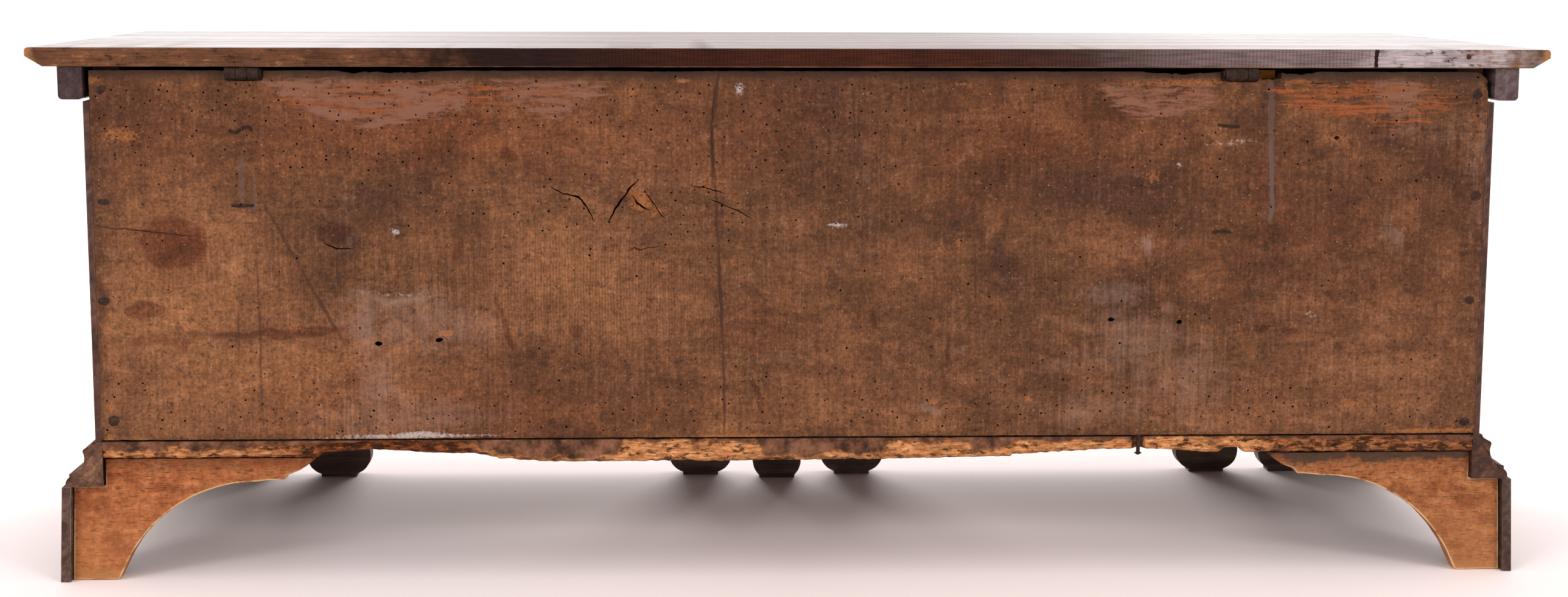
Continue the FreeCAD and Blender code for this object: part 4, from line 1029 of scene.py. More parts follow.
# %% [markdown]
# The tree strews points on the sheet, keeps them apart, and sets a small slanting peg on each point.
# The pegs are then cut out of the plank like the cracks, so every hole is a real hollow, and the plank's
# finish paints shade into it as well.

# %% Worm holes
worm_tree, given = new_tree("worm_holes", {
    "Spacing": "NodeSocketFloat", "Density": "NodeSocketFloat", "Bore": "NodeSocketFloat",
    "Depth": "NodeSocketFloat", "Seed": "NodeSocketInt", "Finish": "NodeSocketMaterial",
})
thick = add(worm_tree, "GeometryNodeInputNamedAttribute", {"Name": "worms"}, data_type="FLOAT")
spots = add(
    worm_tree, "GeometryNodeDistributePointsOnFaces",
    {"Mesh": given["Geometry"], "Distance Min": given["Spacing"], "Density Max": given["Density"],
     "Density Factor": thick, "Seed": given["Seed"]},
    distribute_method="POISSON",
)
PEG_SIDES = 7
peg = add(
    worm_tree, "GeometryNodeMeshCylinder",
    {"Vertices": PEG_SIDES, "Radius": given["Bore"], "Depth": given["Depth"]},
)
slant = add(
    worm_tree, "FunctionNodeRandomValue",
    {"Min": (1.25, 0.0, -0.4), "Max": (1.9, 3.0, 0.4), "Seed": given["Seed"]}, data_type="FLOAT_VECTOR",
)
size = add(
    worm_tree, "FunctionNodeRandomValue", {"Min": (0.65, 0.65, 1.0), "Max": (1.35, 1.35, 1.0), "Seed": 3},
    data_type="FLOAT_VECTOR",
)
pegs = add(
    worm_tree, "GeometryNodeInstanceOnPoints",
    {"Points": spots, "Instance": peg, "Rotation": slant, "Scale": size},
)
close_tree(worm_tree, pegs, given["Finish"])
pegs = grow(
    "worm_pegs", sheet_mesh, worm_tree,
    {
        "Spacing": 3.4 * MM, "Density": 3600.0, "Bore": 1.05 * MM, "Depth": 9 * MM, "Seed": 11,
        "Finish": forged_iron,
    },
)
print("worm holes:", len(pegs.data.vertices) // (2 * PEG_SIDES))
shape = bmesh.new()
shape.from_mesh(pegs.data)
bpy.data.objects.remove(pegs)
carve(plank, [shape])

# %% [markdown]
# The plank's finish is the heart of the likeness: dirty walnut with saw marks, scraped patches, stains
# and drips. A painter would lay it in coats, and so does this finish. Broad areas and stains are soft
# ovals, placed on the plank in millimetres. Their strength is stored at the plank's points as attributes,
# one for each kind of mark, because hundreds of ovals as nodes would overfill the renderer. The tree then
# frays their outlines with noise.

# %% Broad areas of the plank
def streak(x0, z0, x1, z1, half_width, strength=1.0):
    """A long thin mark between two points, as a turned oval."""
    run = math.hypot(x1 - x0, z1 - z0)
    turn = math.degrees(math.atan2(z1 - z0, x1 - x0))
    return ((x0 + x1) / 2, (z0 + z1) / 2, run / 2 + half_width, half_width, turn, strength)


# Each mark: middle x and z, half length, half height, turn in degrees, strength.
TAN_AREAS = [
    (690, 300, 110, 90, 0, 0.8), (670, 385, 110, 55, 0, 0.6), (560, 230, 200, 60, 0, 0.75),
    (226, 330, 150, 75, 0, 0.8), (640, 430, 70, 40, 10, 0.4), (180, 480, 120, 40, 12, 0.5),
    (-100, 230, 200, 60, 0, 0.35), (-420, 200, 120, 40, 0, 0.3), (-640, 240, 120, 60, 0, 0.5),
    (400, 300, 60, 70, 0, 0.4), streak(-540, 302, -740, 306, 10, 0.6),
    streak(-560, 236, -730, 232, 8, 0.6), (-330, 390, 80, 24, 15, 0.4), (-120, 350, 60, 30, 0, 0.45),
    (20, 330, 40, 60, 0, 0.4), (620, 200, 120, 30, 0, 0.6), (-500, 178, 160, 22, 0, 0.45),
    (670, 176, 90, 16, 0, 0.55),
]
RED_AREAS = [
    (676, 376, 36, 31, 0, 0.6), (680, 500, 100, 50, 0, 0.4), (380, 500, 240, 40, 0, 0.7),
    (60, 500, 120, 50, 0, 0.55), (-250, 490, 160, 60, 0, 0.5), (53, 284, 40, 20, 0, 0.5),
    (-560, 400, 160, 90, 0, 0.4), (560, 480, 70, 40, 0, 0.4), (500, 210, 120, 40, 0, 0.3),
    (300, 200, 160, 40, 0, 0.4),
]
DARK_AREAS = [
    (680, 520, 90, 40, 0, 0.3), (440, 432, 120, 26, -4, 0.38), (505, 392, 30, 20, 0, 0.5),
    (350, 380, 30, 40, 0, 0.45), (-348, 426, 120, 34, 6, 0.9), (-620, 440, 140, 50, 0, 0.45),
    (-200, 300, 160, 60, 0, 0.35), (-30, 470, 90, 90, 0, 0.55), (150, 385, 60, 22, 0, 0.5),
    (-700, 380, 60, 120, 0, 0.3), (-560, 340, 100, 40, 0, 0.3), (250, 225, 120, 40, 0, 0.35),
    (82, 290, 18, 60, 0, 0.5), (745, 430, 16, 60, 0, 0.5), (480, 222, 30, 12, 0, 0.3),
    streak(-520, 264, -750, 256, 9, 0.5), streak(-600, 470, -750, 476, 10, 0.4),
    (-740, 350, 20, 190, 0, 0.4), streak(280, 222, 60, 216, 8, 0.4), (-30, 340, 170, 90, 0, 0.3),
    (0, 500, 170, 60, 0, 0.48), (-560, 330, 180, 90, 0, 0.36), (175, 418, 26, 16, 30, 0.7),
    (690, 460, 60, 24, 0, 0.25), (758, 360, 7, 200, 0, 0.8), (-758, 360, 6, 200, 0, 0.7),
    (-120, 400, 70, 30, 20, 0.35), (-250, 220, 60, 20, 0, 0.4),
]
print("broad areas:", len(TAN_AREAS) + len(RED_AREAS) + len(DARK_AREAS))

# %% [markdown]
# Smaller marks have firmer borders: stains, spots of raw wood, white scuffs and pale haze. Torn and
# ribbed areas say where the surface itself is rough. The scraped patches have straight sides, because a
# scraper made them, so they are given by their corners.

# %% Stains, spots and patches of the plank
STAINS = [
    (676, 376, 34, 29, 0, 0.9), (707, 302, 21, 11, 0, 0.85), (670, 272, 7, 17, 0, 0.6),
    streak(724, 268, 640, 273, 8, 0.5), streak(640, 274, 483, 280, 6, 0.66), (505, 386, 20, 13, 0, 0.6),
    (371, 373, 7, 24, 0, 0.5), (315, 471, 9, 8, 0, 0.7), streak(315, 500, 315, 475, 4, 0.35),
    (241, 277, 9, 9, 0, 0.7), streak(324, 305, 312, 260, 4, 0.7), (290, 252, 7, 4, 0, 0.6),
    (-225, 451, 5, 13, 10, 0.5), (-516, 278, 10, 6, 0, 0.7), (-549, 278, 10, 6, 0, 0.6),
    (-592, 315, 10, 6, 35, 0.5), (-85, 289, 5, 15, 0, 0.6), (-85, 248, 10, 5, 0, 0.5),
    (-325, 254, 5, 13, 0, 0.5), streak(-163, 273, -171, 239, 3, 0.6), streak(48, 225, 37, 179, 4, 0.6),
    (-728, 490, 3, 15, 0, 0.7), (278, 300, 9, 14, 20, 0.3), (-296, 330, 9, 20, 0, 0.4),
    (-470, 300, 9, 14, 0, 0.3), (430, 420, 10, 8, 0, 0.4),
]
RAW_SPOTS = [
    (728, 492, 20, 9, 0, 0.6), (549, 283, 12, 5, 0, 0.5), (173, 423, 18, 11, 35, 0.75),
    (158, 410, 13, 6, 0, 0.6), (383, 276, 9, 3.4, -5, 1.0), (95, 441, 15, 9, 0, 0.5),
    (-151, 198, 7, 3, 0, 0.8), (-257, 201, 5, 3, 0, 0.8), (-618, 194, 14, 6, 0, 0.6),
    (-593, 490, 14, 4, 0, 0.6), (-391, 447, 10, 7, 20, 0.5), (-157, 370, 4, 9, 0, 0.5),
    (-178, 373, 4, 7, 0, 0.5), (755, 553, 9, 5, 0, 0.7), (752, 160, 6, 8, 0, 0.7),
    (749, 197, 5, 8, 0, 0.7), (-548, 548, 16, 6, 0, 0.9), streak(112, 160, 20, 160, 2.2, 0.9),
    streak(-670, 162, -759, 163, 3.0, 0.9), streak(-480, 552, -380, 551, 4, 0.6),
    (125, 552, 9, 3, 0, 0.8), (180, 540, 8, 3, 0, 0.6), (-180, 548, 12, 2.5, 0, 0.5),
]
WHITE_SCUFFS = [
    (63, 543, 5, 6, 0, 0.75), (-44, 394, 10, 2.2, 0, 0.95), (436, 388, 4, 4, 0, 0.95),
    streak(515, 161, 345, 162, 1.9, 0.95), streak(430, 166, 390, 167, 1.6, 0.8),
    streak(-445, 481, -510, 489, 2.2, 0.5), (-419, 460, 3, 3, 0, 0.7), (-571, 295, 6, 4, 0, 0.4),
    (560, 470, 10, 3, 0, 0.25), streak(480, 322, 400, 317, 2.0, 0.4),
]
HAZE_AREAS = [
    (-751, 480, 8, 80, 0, 0.15), (-700, 505, 60, 16, 0, 0.2), (412, 290, 66, 30, 0, 0.34),
    (470, 290, 12, 34, 0, 0.5), (440, 316, 50, 5, 0, 0.6), (-356, 318, 34, 12, 0, 0.42),
    (-440, 225, 40, 48, 0, 0.28), (-370, 262, 50, 48, 0, 0.36), (455, 215, 22, 44, 0, 0.45),
    (-660, 380, 12, 18, 0, 0.4), (-386, 370, 6, 9, 0, 0.6), (-153, 189, 14, 4, 0, 0.5),
    (430, 185, 90, 16, 0, 0.35), (-330, 190, 60, 20, 0, 0.3),
]
TORN_AREAS = [
    (460, 532, 160, 30, 0, 1.0), (300, 535, 110, 26, 0, 0.9), (-400, 540, 90, 20, 0, 0.9),
    (-620, 532, 170, 28, 0, 1.0), (110, 545, 60, 10, 0, 0.5), (-640, 510, 110, 9, 0, 1.0),
    (560, 548, 40, 8, 0, 0.6),
]
RIBBED_AREAS = [(226, 325, 140, 70, 0, 1.0), (450, 340, 120, 60, 0, 0.5), (-100, 300, 300, 120, 0, 0.3)]
# Corners of the scraped patches, clockwise as the camera sees them.
SCRAPED_PATCHES = [
    [(588, 557), (352, 557), (358, 515), (470, 495), (548, 521)],
    [(332, 556), (199, 557), (206, 536), (252, 506), (278, 506), (320, 530)],
    [(-328, 552), (-455, 548), (-462, 528), (-402, 506), (-372, 508), (-340, 522)],
    [(-624, 560), (-694, 560), (-688, 532), (-676, 517), (-660, 514), (-634, 526)],
]
print("stains and spots:", len(STAINS) + len(RAW_SPOTS) + len(WHITE_SCUFFS) + len(HAZE_AREAS))

# %% [markdown]
# Each point of the plank now asks every mark how near it is, and the strongest mark of a kind wins.
# A little noise bends the places first, so no oval looks like an oval.

# %% Strength of the marks at each point
def oval_strength(across, up, marks, soft):
    """How strongly a set of ovals covers each point, from 0 to 1."""
    cover = np.zeros(len(across))
    for x, z, half_x, half_z, turn, strength in marks:
        cos, sin = math.cos(math.radians(turn)), math.sin(math.radians(turn))
        along = ((across - x) * cos + (up - z) * sin) / half_x
        aside = ((up - z) * cos - (across - x) * sin) / half_z
        inside = np.clip((1 + soft - np.hypot(along, aside)) / (2 * soft), 0, 1)
        cover = np.maximum(cover, strength * inside)
    return cover


def patch_strength(across, up, patches, soft):
    """How far inside a straight-sided patch each point lies, from 0 to 1."""
    cover = np.zeros(len(across))
    for corners in patches:
        inside = np.ones(len(across))
        for (x0, z0), (x1, z1) in zip(corners, corners[1:] + corners[:1]):
            run = math.hypot(x1 - x0, z1 - z0)
            depth = ((up - z0) * (x1 - x0) - (across - x0) * (z1 - z0)) / run
            inside = np.minimum(inside, np.clip(0.5 + depth / (2 * soft), 0, 1))
        cover = np.maximum(cover, inside)
    return cover


points = np.empty(len(plank.data.vertices) * 3)
plank.data.vertices.foreach_get("co", points)
across, up = points[0::3] / MM, points[2::3] / MM
bend = np.array([[rough(x, z, 30, 9), rough(x, z, 30, 10)] for x, z in zip(across, up)])
loose_x, loose_z = across + 14 * bend[:, 0], up + 10 * bend[:, 1]
coats = {
    "tan": oval_strength(loose_x, loose_z, TAN_AREAS, 0.75),
    "red": oval_strength(loose_x, loose_z, RED_AREAS, 0.75),
    "dark": oval_strength(loose_x, loose_z, DARK_AREAS, 0.75),
    "stain": oval_strength(across + 6 * bend[:, 0], up + 6 * bend[:, 1], STAINS, 0.32),
    "raw": oval_strength(across, up, RAW_SPOTS, 0.6),
    "scuff": oval_strength(across, up, WHITE_SCUFFS, 0.6),
    "haze": oval_strength(loose_x, loose_z, HAZE_AREAS, 0.7),
    "torn": oval_strength(loose_x, loose_z, TORN_AREAS, 0.5),
    "ribbed": oval_strength(loose_x, loose_z, RIBBED_AREAS, 0.7),
    "scraped": patch_strength(across, up, SCRAPED_PATCHES, 12),
}
for key, values in coats.items():
    plank.data.attributes.new(key, "FLOAT", "POINT").data.foreach_set("value", values)
print("marks stored at", len(across), "points:", ", ".join(coats))

# %% [markdown]
# The ground is walnut, mottled at the size of a hand, with tan, red and dark areas over it. Saw marks,
# fibres, smears and grit then darken and lighten it. Every noise reads places that wander a little,
# because straight features on an old plank would look printed.

# %% Finish of the plank, first coats
plank_walnut, tree, shader, place = start_finish("weathered_walnut_back")
# Hand-sawn walnut, dirty and dry: matt, mottled, ribbed by the saw, redder where it was handled.
coat = {key: add(tree, "Attribute", attribute_name=key).node.outputs["Fac"] for key in coats}
wander = add(
    tree, "TexNoise", {"Vector": place, "Scale": per_metre(26), "Detail": 6.0, "Roughness": 0.68},
)
wander = add(
    tree, "VectorMath", {0: wander.node.outputs["Color"], 1: (0.5, 0.5, 0.5)}, operation="SUBTRACT",
)
close = add(tree, "VectorMath", {0: wander, 1: (7 * MM,) * 3, 2: place}, operation="MULTIPLY_ADD")
upright = add(tree, "Mapping", {"Vector": close, "Scale": (1, 1, 0.035)})
level = add(tree, "Mapping", {"Vector": close, "Scale": (0.05, 1, 1)})
grit = add(tree, "TexNoise", {"Vector": place, "Scale": per_metre(3), "Detail": 5.0, "Roughness": 0.75})
blots = add(tree, "TexNoise", {"Vector": close, "Scale": per_metre(12), "Detail": 6.0, "Roughness": 0.72})
mottle = add(
    tree, "TexNoise",
    {"Vector": place, "Scale": per_metre(70), "Detail": 9.0, "Roughness": 0.66, "Distortion": 0.3},
)
colour = add(
    tree, "ValToRGB", {"Fac": mottle},
    stops=[(0.34, "#392216"), (0.46, "#4d301f"), (0.57, "#5e3c25"), (0.7, "#6f482d")],
)
for key, tone in (("tan", "#7f5335"), ("red", "#61361e"), ("dark", "#40271b")):
    colour = add(tree, "Mix", {"Factor": coat[key], "A": colour, "B": tone}, data_type="RGBA")

# Saw marks stand upright; the finest are drawn at 3 mm so that they show.
sawn = add(
    tree, "TexNoise", {"Vector": upright, "Scale": per_metre(3.2), "Detail": 4.0, "Roughness": 0.65},
)
fibres = add(
    tree, "TexNoise", {"Vector": level, "Scale": per_metre(1.6), "Detail": 3.0, "Roughness": 0.6},
)
wiped = add(tree, "Mapping", {"Vector": close, "Scale": (0.3, 1, 1)})
smears = add(
    tree, "TexNoise",
    {"Vector": wiped, "Scale": per_metre(24), "Detail": 8.0, "Roughness": 0.75, "Distortion": 0.8},
)
for source, low, high in (
    (sawn, 0.79, 1.19), (blots, 0.68, 1.3), (fibres, 0.88, 1.12), (smears, 0.7, 1.28), (grit, 0.58, 1.45),
):
    colour = shaded(tree, colour, source, 0.28, 0.72, low, high)

# The coarse saw left ribs 3.3 mm apart.
ribs = add(
    tree, "TexWave",
    {
        "Vector": close, "Scale": WAVE_REPEAT / (3.3 * MM), "Distortion": 1.5, "Detail": 2.0,
        "Detail Scale": 0.15,
    },
    wave_type="BANDS", bands_direction="X",
)
ribs = add(tree, "Math", {0: ribs, 1: coat["ribbed"]}, operation="MULTIPLY")
colour = shaded(tree, colour, ribs, 0, 1, 1.0, 0.7)
print("first coats:", len(tree.nodes), "nodes")

# %% [markdown]
# Old glue or a label was scraped off along the top. It left flat pink-brown areas, torn into level shreds
# of orange wood. A plain mask would look like tape, so level noise eats into the patches from all sides.

# %% Finish of the plank, scraped patches
shreds = add(
    tree, "TexNoise", {"Vector": level, "Scale": per_metre(3.2), "Detail": 6.0, "Roughness": 0.7},
)
orange = add(tree, "Math", {0: shreds, 1: coat["torn"], 2: -0.45}, operation="MULTIPLY_ADD")
colour = coated(tree, colour, "#854520", orange, 0.0, 0.12, 0.85)
frayed = add(tree, "Math", {0: shreds, 1: 1.7, 2: coat["scraped"]}, operation="MULTIPLY_ADD")
film = add(tree, "MapRange", {"Value": frayed, "From Min": 1.42, "From Max": 1.56})
torn_level = add(tree, "Mapping", {"Vector": close, "Scale": (0.16, 1, 1)})
bitten = add(
    tree, "TexNoise", {"Vector": torn_level, "Scale": per_metre(7), "Detail": 6.0, "Roughness": 0.75},
)
bitten = add(tree, "MapRange", {"Value": bitten, "From Min": 0.43, "From Max": 0.52})
film = add(tree, "Math", {0: film, 1: bitten}, operation="MULTIPLY")
colour = add(tree, "Mix", {"Factor": film, "A": colour, "B": "#6f4a39"}, data_type="RGBA")
print("with patches:", len(tree.nodes), "nodes")

# %% [markdown]
# Stains darken the wood that is there, so they multiply. Raw spots, scuffs and haze lie over it, so they
# cover. Each kind has its own noise at its border: stains bleed in blots, scuffs break up in grit, dust
# follows the saw. Last come flecks and specks that are too many to place by hand.

# %% Finish of the plank, stains, raw spots and scuffs
dust = add(tree, "Math", {0: sawn, 1: smears}, operation="ADD")
dust = add(tree, "Math", {0: dust, 1: 0.5}, operation="MULTIPLY")
for key, fray, tone, blend, start, end, most in (
    ("stain", blots, "#cdbdba", "MULTIPLY", 1.26, 1.42, 0.95),
    ("raw", grit, "#8a552f", "MIX", 1.15, 1.65, 0.85), ("scuff", grit, "#a49790", "MIX", 1.2, 1.7, 0.85),
    ("haze", dust, "#887167", "MIX", 0.98, 1.66, 0.45),
):
    cover = add(tree, "Math", {0: fray, 1: 1.8, 2: coat[key]}, operation="MULTIPLY_ADD")
    colour = coated(tree, colour, tone, cover, start, end, most, blend=blend)
# Flecks of bare wood and of old dirt, a few millimetres wide.
flecks = add(tree, "TexNoise", {"Vector": close, "Scale": per_metre(6), "Detail": 3.0, "Roughness": 0.7})
for start, end, tone, most in ((0.6, 0.72, "#875b38", 0.22), (0.42, 0.3, "#2d1a11", 0.4)):
    colour = coated(tree, colour, tone, flecks, start, end, most)
# Specks of plaster and dust, a millimetre wide.
specks = add(tree, "TexVoronoi", {"Vector": close, "Scale": per_metre(9)})
chosen = add(tree, "Math", {0: specks.node.outputs["Color"], 1: 0.62}, operation="GREATER_THAN")
specks = add(tree, "MapRange", {"Value": specks, "From Min": 0.1, "From Max": 0.06, "To Max": 0.55})
specks = add(tree, "Math", {0: specks, 1: chosen}, operation="MULTIPLY")
colour = add(tree, "Mix", {"Factor": specks, "A": colour, "B": "#9d7a5c"}, data_type="RGBA")
print("with marks:", len(tree.nodes), "nodes")

# %% [markdown]
# Scratches and drips are thinner than the plank's points are apart, so these few are ovals made of nodes.
# Each takes the distance from a turned centre line, and the nearest one wins.

# %% Finish of the plank, scratches and drips
DARK_LINES = [
    streak(586, 370, 584, 181, 1.5, 0.5), streak(607, 304, 609, 249, 1.2, 0.5),
    streak(581, 426, 540, 350, 1.8, 0.6), streak(540, 350, 496, 268, 2.0, 0.7),
    streak(756, 394, 647, 383, 1.0, 0.7), streak(86, 560, 93, 504, 2.6, 0.9),
    streak(93, 508, 92, 444, 2.4, 0.95), streak(90, 450, 86, 370, 1.8, 0.75),
    streak(86, 375, 81, 262, 2.2, 0.85), streak(81, 270, 79, 165, 1.8, 0.7),
    streak(-196, 372, -197, 307, 1.4, 0.6), streak(-60, 545, -62, 510, 1.6, 0.5),
]
GREY_DRIPS = [
    streak(-518, 560, -521, 470, 3.6, 0.55), streak(-520, 490, -522, 440, 2.8, 0.85),
    streak(-522, 450, -524, 412, 2.2, 0.9), streak(-524, 416, -521, 398, 2.6, 0.95),
    streak(599, 469, 600, 422, 4.0, 0.45), streak(587, 448, 588, 409, 2.4, 0.4),
]


def line_mask(tree, where, lines, soft):
    """One mask from thin turned ovals."""
    mask = None
    for x, z, half_x, half_z, turn, strength in lines:
        cos, sin = math.cos(math.radians(turn)), math.sin(math.radians(turn))
        away = add(tree, "VectorMath", {0: where, 1: (x * MM, 0, z * MM)}, operation="SUBTRACT")
        lengthways = (cos / (half_x * MM), 0, sin / (half_x * MM))
        sideways = (-sin / (half_z * MM), 0, cos / (half_z * MM))
        along = add(tree, "VectorMath", {0: away, 1: lengthways}, operation="DOT_PRODUCT")
        aside = add(tree, "VectorMath", {0: away, 1: sideways}, operation="DOT_PRODUCT")
        aside = add(tree, "Math", {0: aside, 1: aside}, operation="MULTIPLY")
        reach = add(tree, "Math", {0: along, 1: along, 2: aside}, operation="MULTIPLY_ADD")
        line = add(
            tree, "MapRange",
            {"Value": reach, "From Min": 1 + soft, "From Max": 1 - soft, "To Max": strength},
        )
        mask = line if mask is None else add(tree, "Math", {0: mask, 1: line}, operation="MAXIMUM")
    return mask


lines = line_mask(tree, close, DARK_LINES, 0.7)
colour = add(tree, "Mix", {"Factor": lines, "A": colour, "B": "#382118"}, data_type="RGBA")
drips = line_mask(tree, close, GREY_DRIPS, 0.4)
colour = add(tree, "Mix", {"Factor": drips, "A": colour, "B": "#55433d"}, data_type="RGBA")
print("with lines:", len(tree.nodes), "nodes")

# %% [markdown]
# The plank is darker along its upper edge, and what lies deeper than the face, in holes and cracks, is
# painted nearly black as painted shade. Depth and height on the plank find both. Saw marks, ribs and grit
# also raise the surface, as bumps under a millimetre, which the side light picks out.

# %% Finish of the plank, edges, hollows and relief
apart = add(tree, "SeparateXYZ", {"Vector": place})
depth, height = apart.node.outputs["Y"], apart.node.outputs["Z"]
# Darker along the upper edge.
top_band = add(tree, "Math", {0: blots, 1: 20 * MM, 2: height}, operation="MULTIPLY_ADD")
colour = coated(tree, colour, "#2d1f18", top_band, 560 * MM, 569 * MM, 0.8)
# Painted shade: holes and cracks below the face are darkened to nearly black.
hollow_shade = add(
    tree, "MapRange",
    {"Value": depth, "From Min": REAR - 0.9 * MM, "From Max": REAR - 2.6 * MM, "To Max": 0.92},
)
near_rear = add(tree, "Math", {0: depth, 1: REAR - 20 * MM}, operation="GREATER_THAN")
below_top = add(tree, "Math", {0: height, 1: 550 * MM}, operation="LESS_THAN")
hollow_shade = add(tree, "Math", {0: hollow_shade, 1: near_rear}, operation="MULTIPLY")
hollow_shade = add(tree, "Math", {0: hollow_shade, 1: below_top}, operation="MULTIPLY")
colour = add(tree, "Mix", {"Factor": hollow_shade, "A": colour, "B": "#130905"}, data_type="RGBA")
gloss = add(
    tree, "MapRange", {"Value": blots, "From Min": 0.3, "From Max": 0.7, "To Min": 0.65, "To Max": 0.9},
)
relief = add(tree, "Math", {0: sawn, 1: ribs}, operation="SUBTRACT")
relief = add(tree, "Math", {0: grit, 1: 0.8, 2: relief}, operation="MULTIPLY_ADD")
relief = add(tree, "Math", {0: film, 1: 0.6, 2: relief}, operation="MULTIPLY_ADD")
relief = add(tree, "Bump", {"Height": relief, "Strength": 0.6, "Distance": 0.6 * MM})
join(
    tree, shader,
    {"Base Color": colour, "Roughness": gloss, "Specular IOR Level": 0.12, "Normal": relief},
)
dress(plank, plank_walnut, "case", ["back_board"])

# %% [markdown]
# Under the plank shows the edge of the bottom board. Beetles and damp have eaten it to golden, crumbly
# wood with channels along the grain; only parts of the old dark skin are left. It is drawn in sections
# like the plank. One function says how far a place is eaten. The shape sinks by it, and the finish turns
# golden by it.

# %% Where the bottom board is eaten
bottom_low, bottom_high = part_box("rear_bottom_board")
# Where golden wood starts, as a share of the edge's height below its top, along x in millimetres.
GOLD_FROM = [
    (-760, 0.3), (-724, 0.3), (-640, 0.1), (-560, 0.15), (-505, 0.1), (-495, 0.05), (-385, 0.05),
    (-378, 0.25), (-235, 0.3), (-226, 0.75), (-198, 0.75), (-190, 0.2), (-105, 0.2), (-95, 0.7),
    (36, 0.7), (46, 0.05), (190, 0.05), (198, 0.78), (346, 0.78), (354, 0.05), (440, 0.05), (510, 0.1),
    (556, 0.2), (600, 0.3), (616, 0.55), (660, 0.55), (680, 0.3), (700, 0.6), (760, 0.5),
]
# Heights to which the lower edge is eaten away, along x, both in millimetres.
EATEN_UNDER = [
    (-530, 0), (-520, 136), (-500, 137.5), (-497, 142.5), (-479, 142.5), (-474, 137), (-460, 137),
    (-432, 139), (-411, 141), (-383, 141.5), (-346, 141), (-317, 139.8), (-288, 138), (-240, 136),
    (-236, 0), (320, 0), (330, 135.5), (355, 140.2), (380, 140.6), (415, 142), (445, 144.5), (472, 145.2),
    (500, 143), (519, 142.5), (526, 137), (532, 0),
]
BARE_NAIL = -382
EDGE_HEIGHT = 22
underside = {}
for vert in nodes["rear_bottom_board"].data.vertices:
    if vert.co.z < bottom_low.z + 12 * MM:
        key = round(vert.co.x / MM, 2)
        underside[key] = min(underside.get(key, 999.0), vert.co.z / MM)
under_x = sorted(underside)
under_z = [underside[key] for key in under_x]


def eaten(x, share):
    """How far the edge is eaten at x and at this share of its height, from 0 to 1."""
    start = np.interp(x, *zip(*GOLD_FROM))
    ragged = 0.22 * rough(x, share * EDGE_HEIGHT, 16, 21) + 0.12 * rough(x, share * EDGE_HEIGHT, 5, 22)
    return min(1, max(0, (1 - share - start + ragged) / 0.16 + 0.5))


def hollowed(x, share):
    """How deep the eaten edge lies below its old face, in millimetres."""
    gold = eaten(x, share)
    z = share * EDGE_HEIGHT
    channel = max(0, 1 - 3.2 * abs(noise.noise(Vector((x / 34, 5.5, z / 3.2)))))
    uneven = 3.4 * abs(rough(x, z * 2.4, 22, 23)) + 2.0 * channel + 0.8 * abs(rough(x, z, 3, 24))
    deep = gold * (1.0 + uneven)
    deep += 3.2 * gold * max(0, 1 - share / 0.3) ** 2
    deep += 0.25 + 0.5 * abs(rough(x, z, 7, 25))
    deep += 0.8 * max(0, 1 - share / 0.08) + 0.8 * max(0, (share - 0.94) / 0.06)
    nail = max(0, 1 - abs(x - BARE_NAIL) / 9)
    return max(deep, 10.5 * min(1, 2.2 * nail))


print("deepest at the bare nail:", hollowed(BARE_NAIL, 0.5), "mm")

# %% [markdown]
# The sections follow the underside of the solid, rise along the eaten edge in small steps, and go back
# along the top. Both measures are stored at the points as well, so that colour and shape agree.

# %% Eaten edge of the bottom board
EDGE_SHARES = [step / 14 for step in range(15)]


def lower_edge(x):
    """The height of the eaten lower edge at x."""
    left_over = float(np.interp(x, *zip(*EATEN_UNDER)))
    return max(float(np.interp(x, under_x, under_z)), left_over)


def bottom_section(x):
    """The board's outline at x: along the underside, up its eaten edge, and back along the top."""
    low = lower_edge(x) + 0.7 * abs(rough(x, 0, 9, 26))
    low += eaten(x, 0.1) * (0.6 + 1.8 * abs(rough(x, 0, 14, 27)))
    top = bottom_high.z / MM - 0.1
    rear = bottom_high.y / MM
    inner = bottom_low.y / MM
    section = [(inner, low), (rear - 60, low), (rear - 30, low), (rear - 16, low)]
    for share in EDGE_SHARES:
        section.append((rear - hollowed(x, share), low + (top - low) * share))
    return section + [(rear - 30, top), (inner, top)]


EDGE_STEP = 2.6
count = round(2 * half_plank / EDGE_STEP)
stations = [-half_plank + 2 * half_plank * index / count for index in range(count + 1)]
bottom = put_object("eaten_bottom_board", lofted(stations, bottom_section))
golden = []
sunken = []
for x in stations:
    shares = [0.0] * 4 + EDGE_SHARES + [1.0] * 2
    golden.extend(eaten(x, share) for share in shares)
    sunken.extend(min(1.0, hollowed(x, share) / 7) for share in shares)
bottom.data.attributes.new("eaten", "FLOAT", "POINT").data.foreach_set("value", golden)
bottom.data.attributes.new("sunken", "FLOAT", "POINT").data.foreach_set("value", sunken)
print(
    "bottom board with", len(stations), "stations,", round(sum(golden) / len(golden), 2),
    "of its edge eaten",
)

# %% [markdown]
# Under the dark skin the eaten wood is bright gold, like fresh crumbs, and towards the ends it is darker.
# The stored attributes say where gold replaces skin and how deep a place lies.
# Pits, soot and a darker tone where it lies deeper then break the gold up, because an even gold edge would
# look painted.

# %% Finish of the bottom board
bottom_edge, tree, shader, place = start_finish("eaten_walnut_bottom")
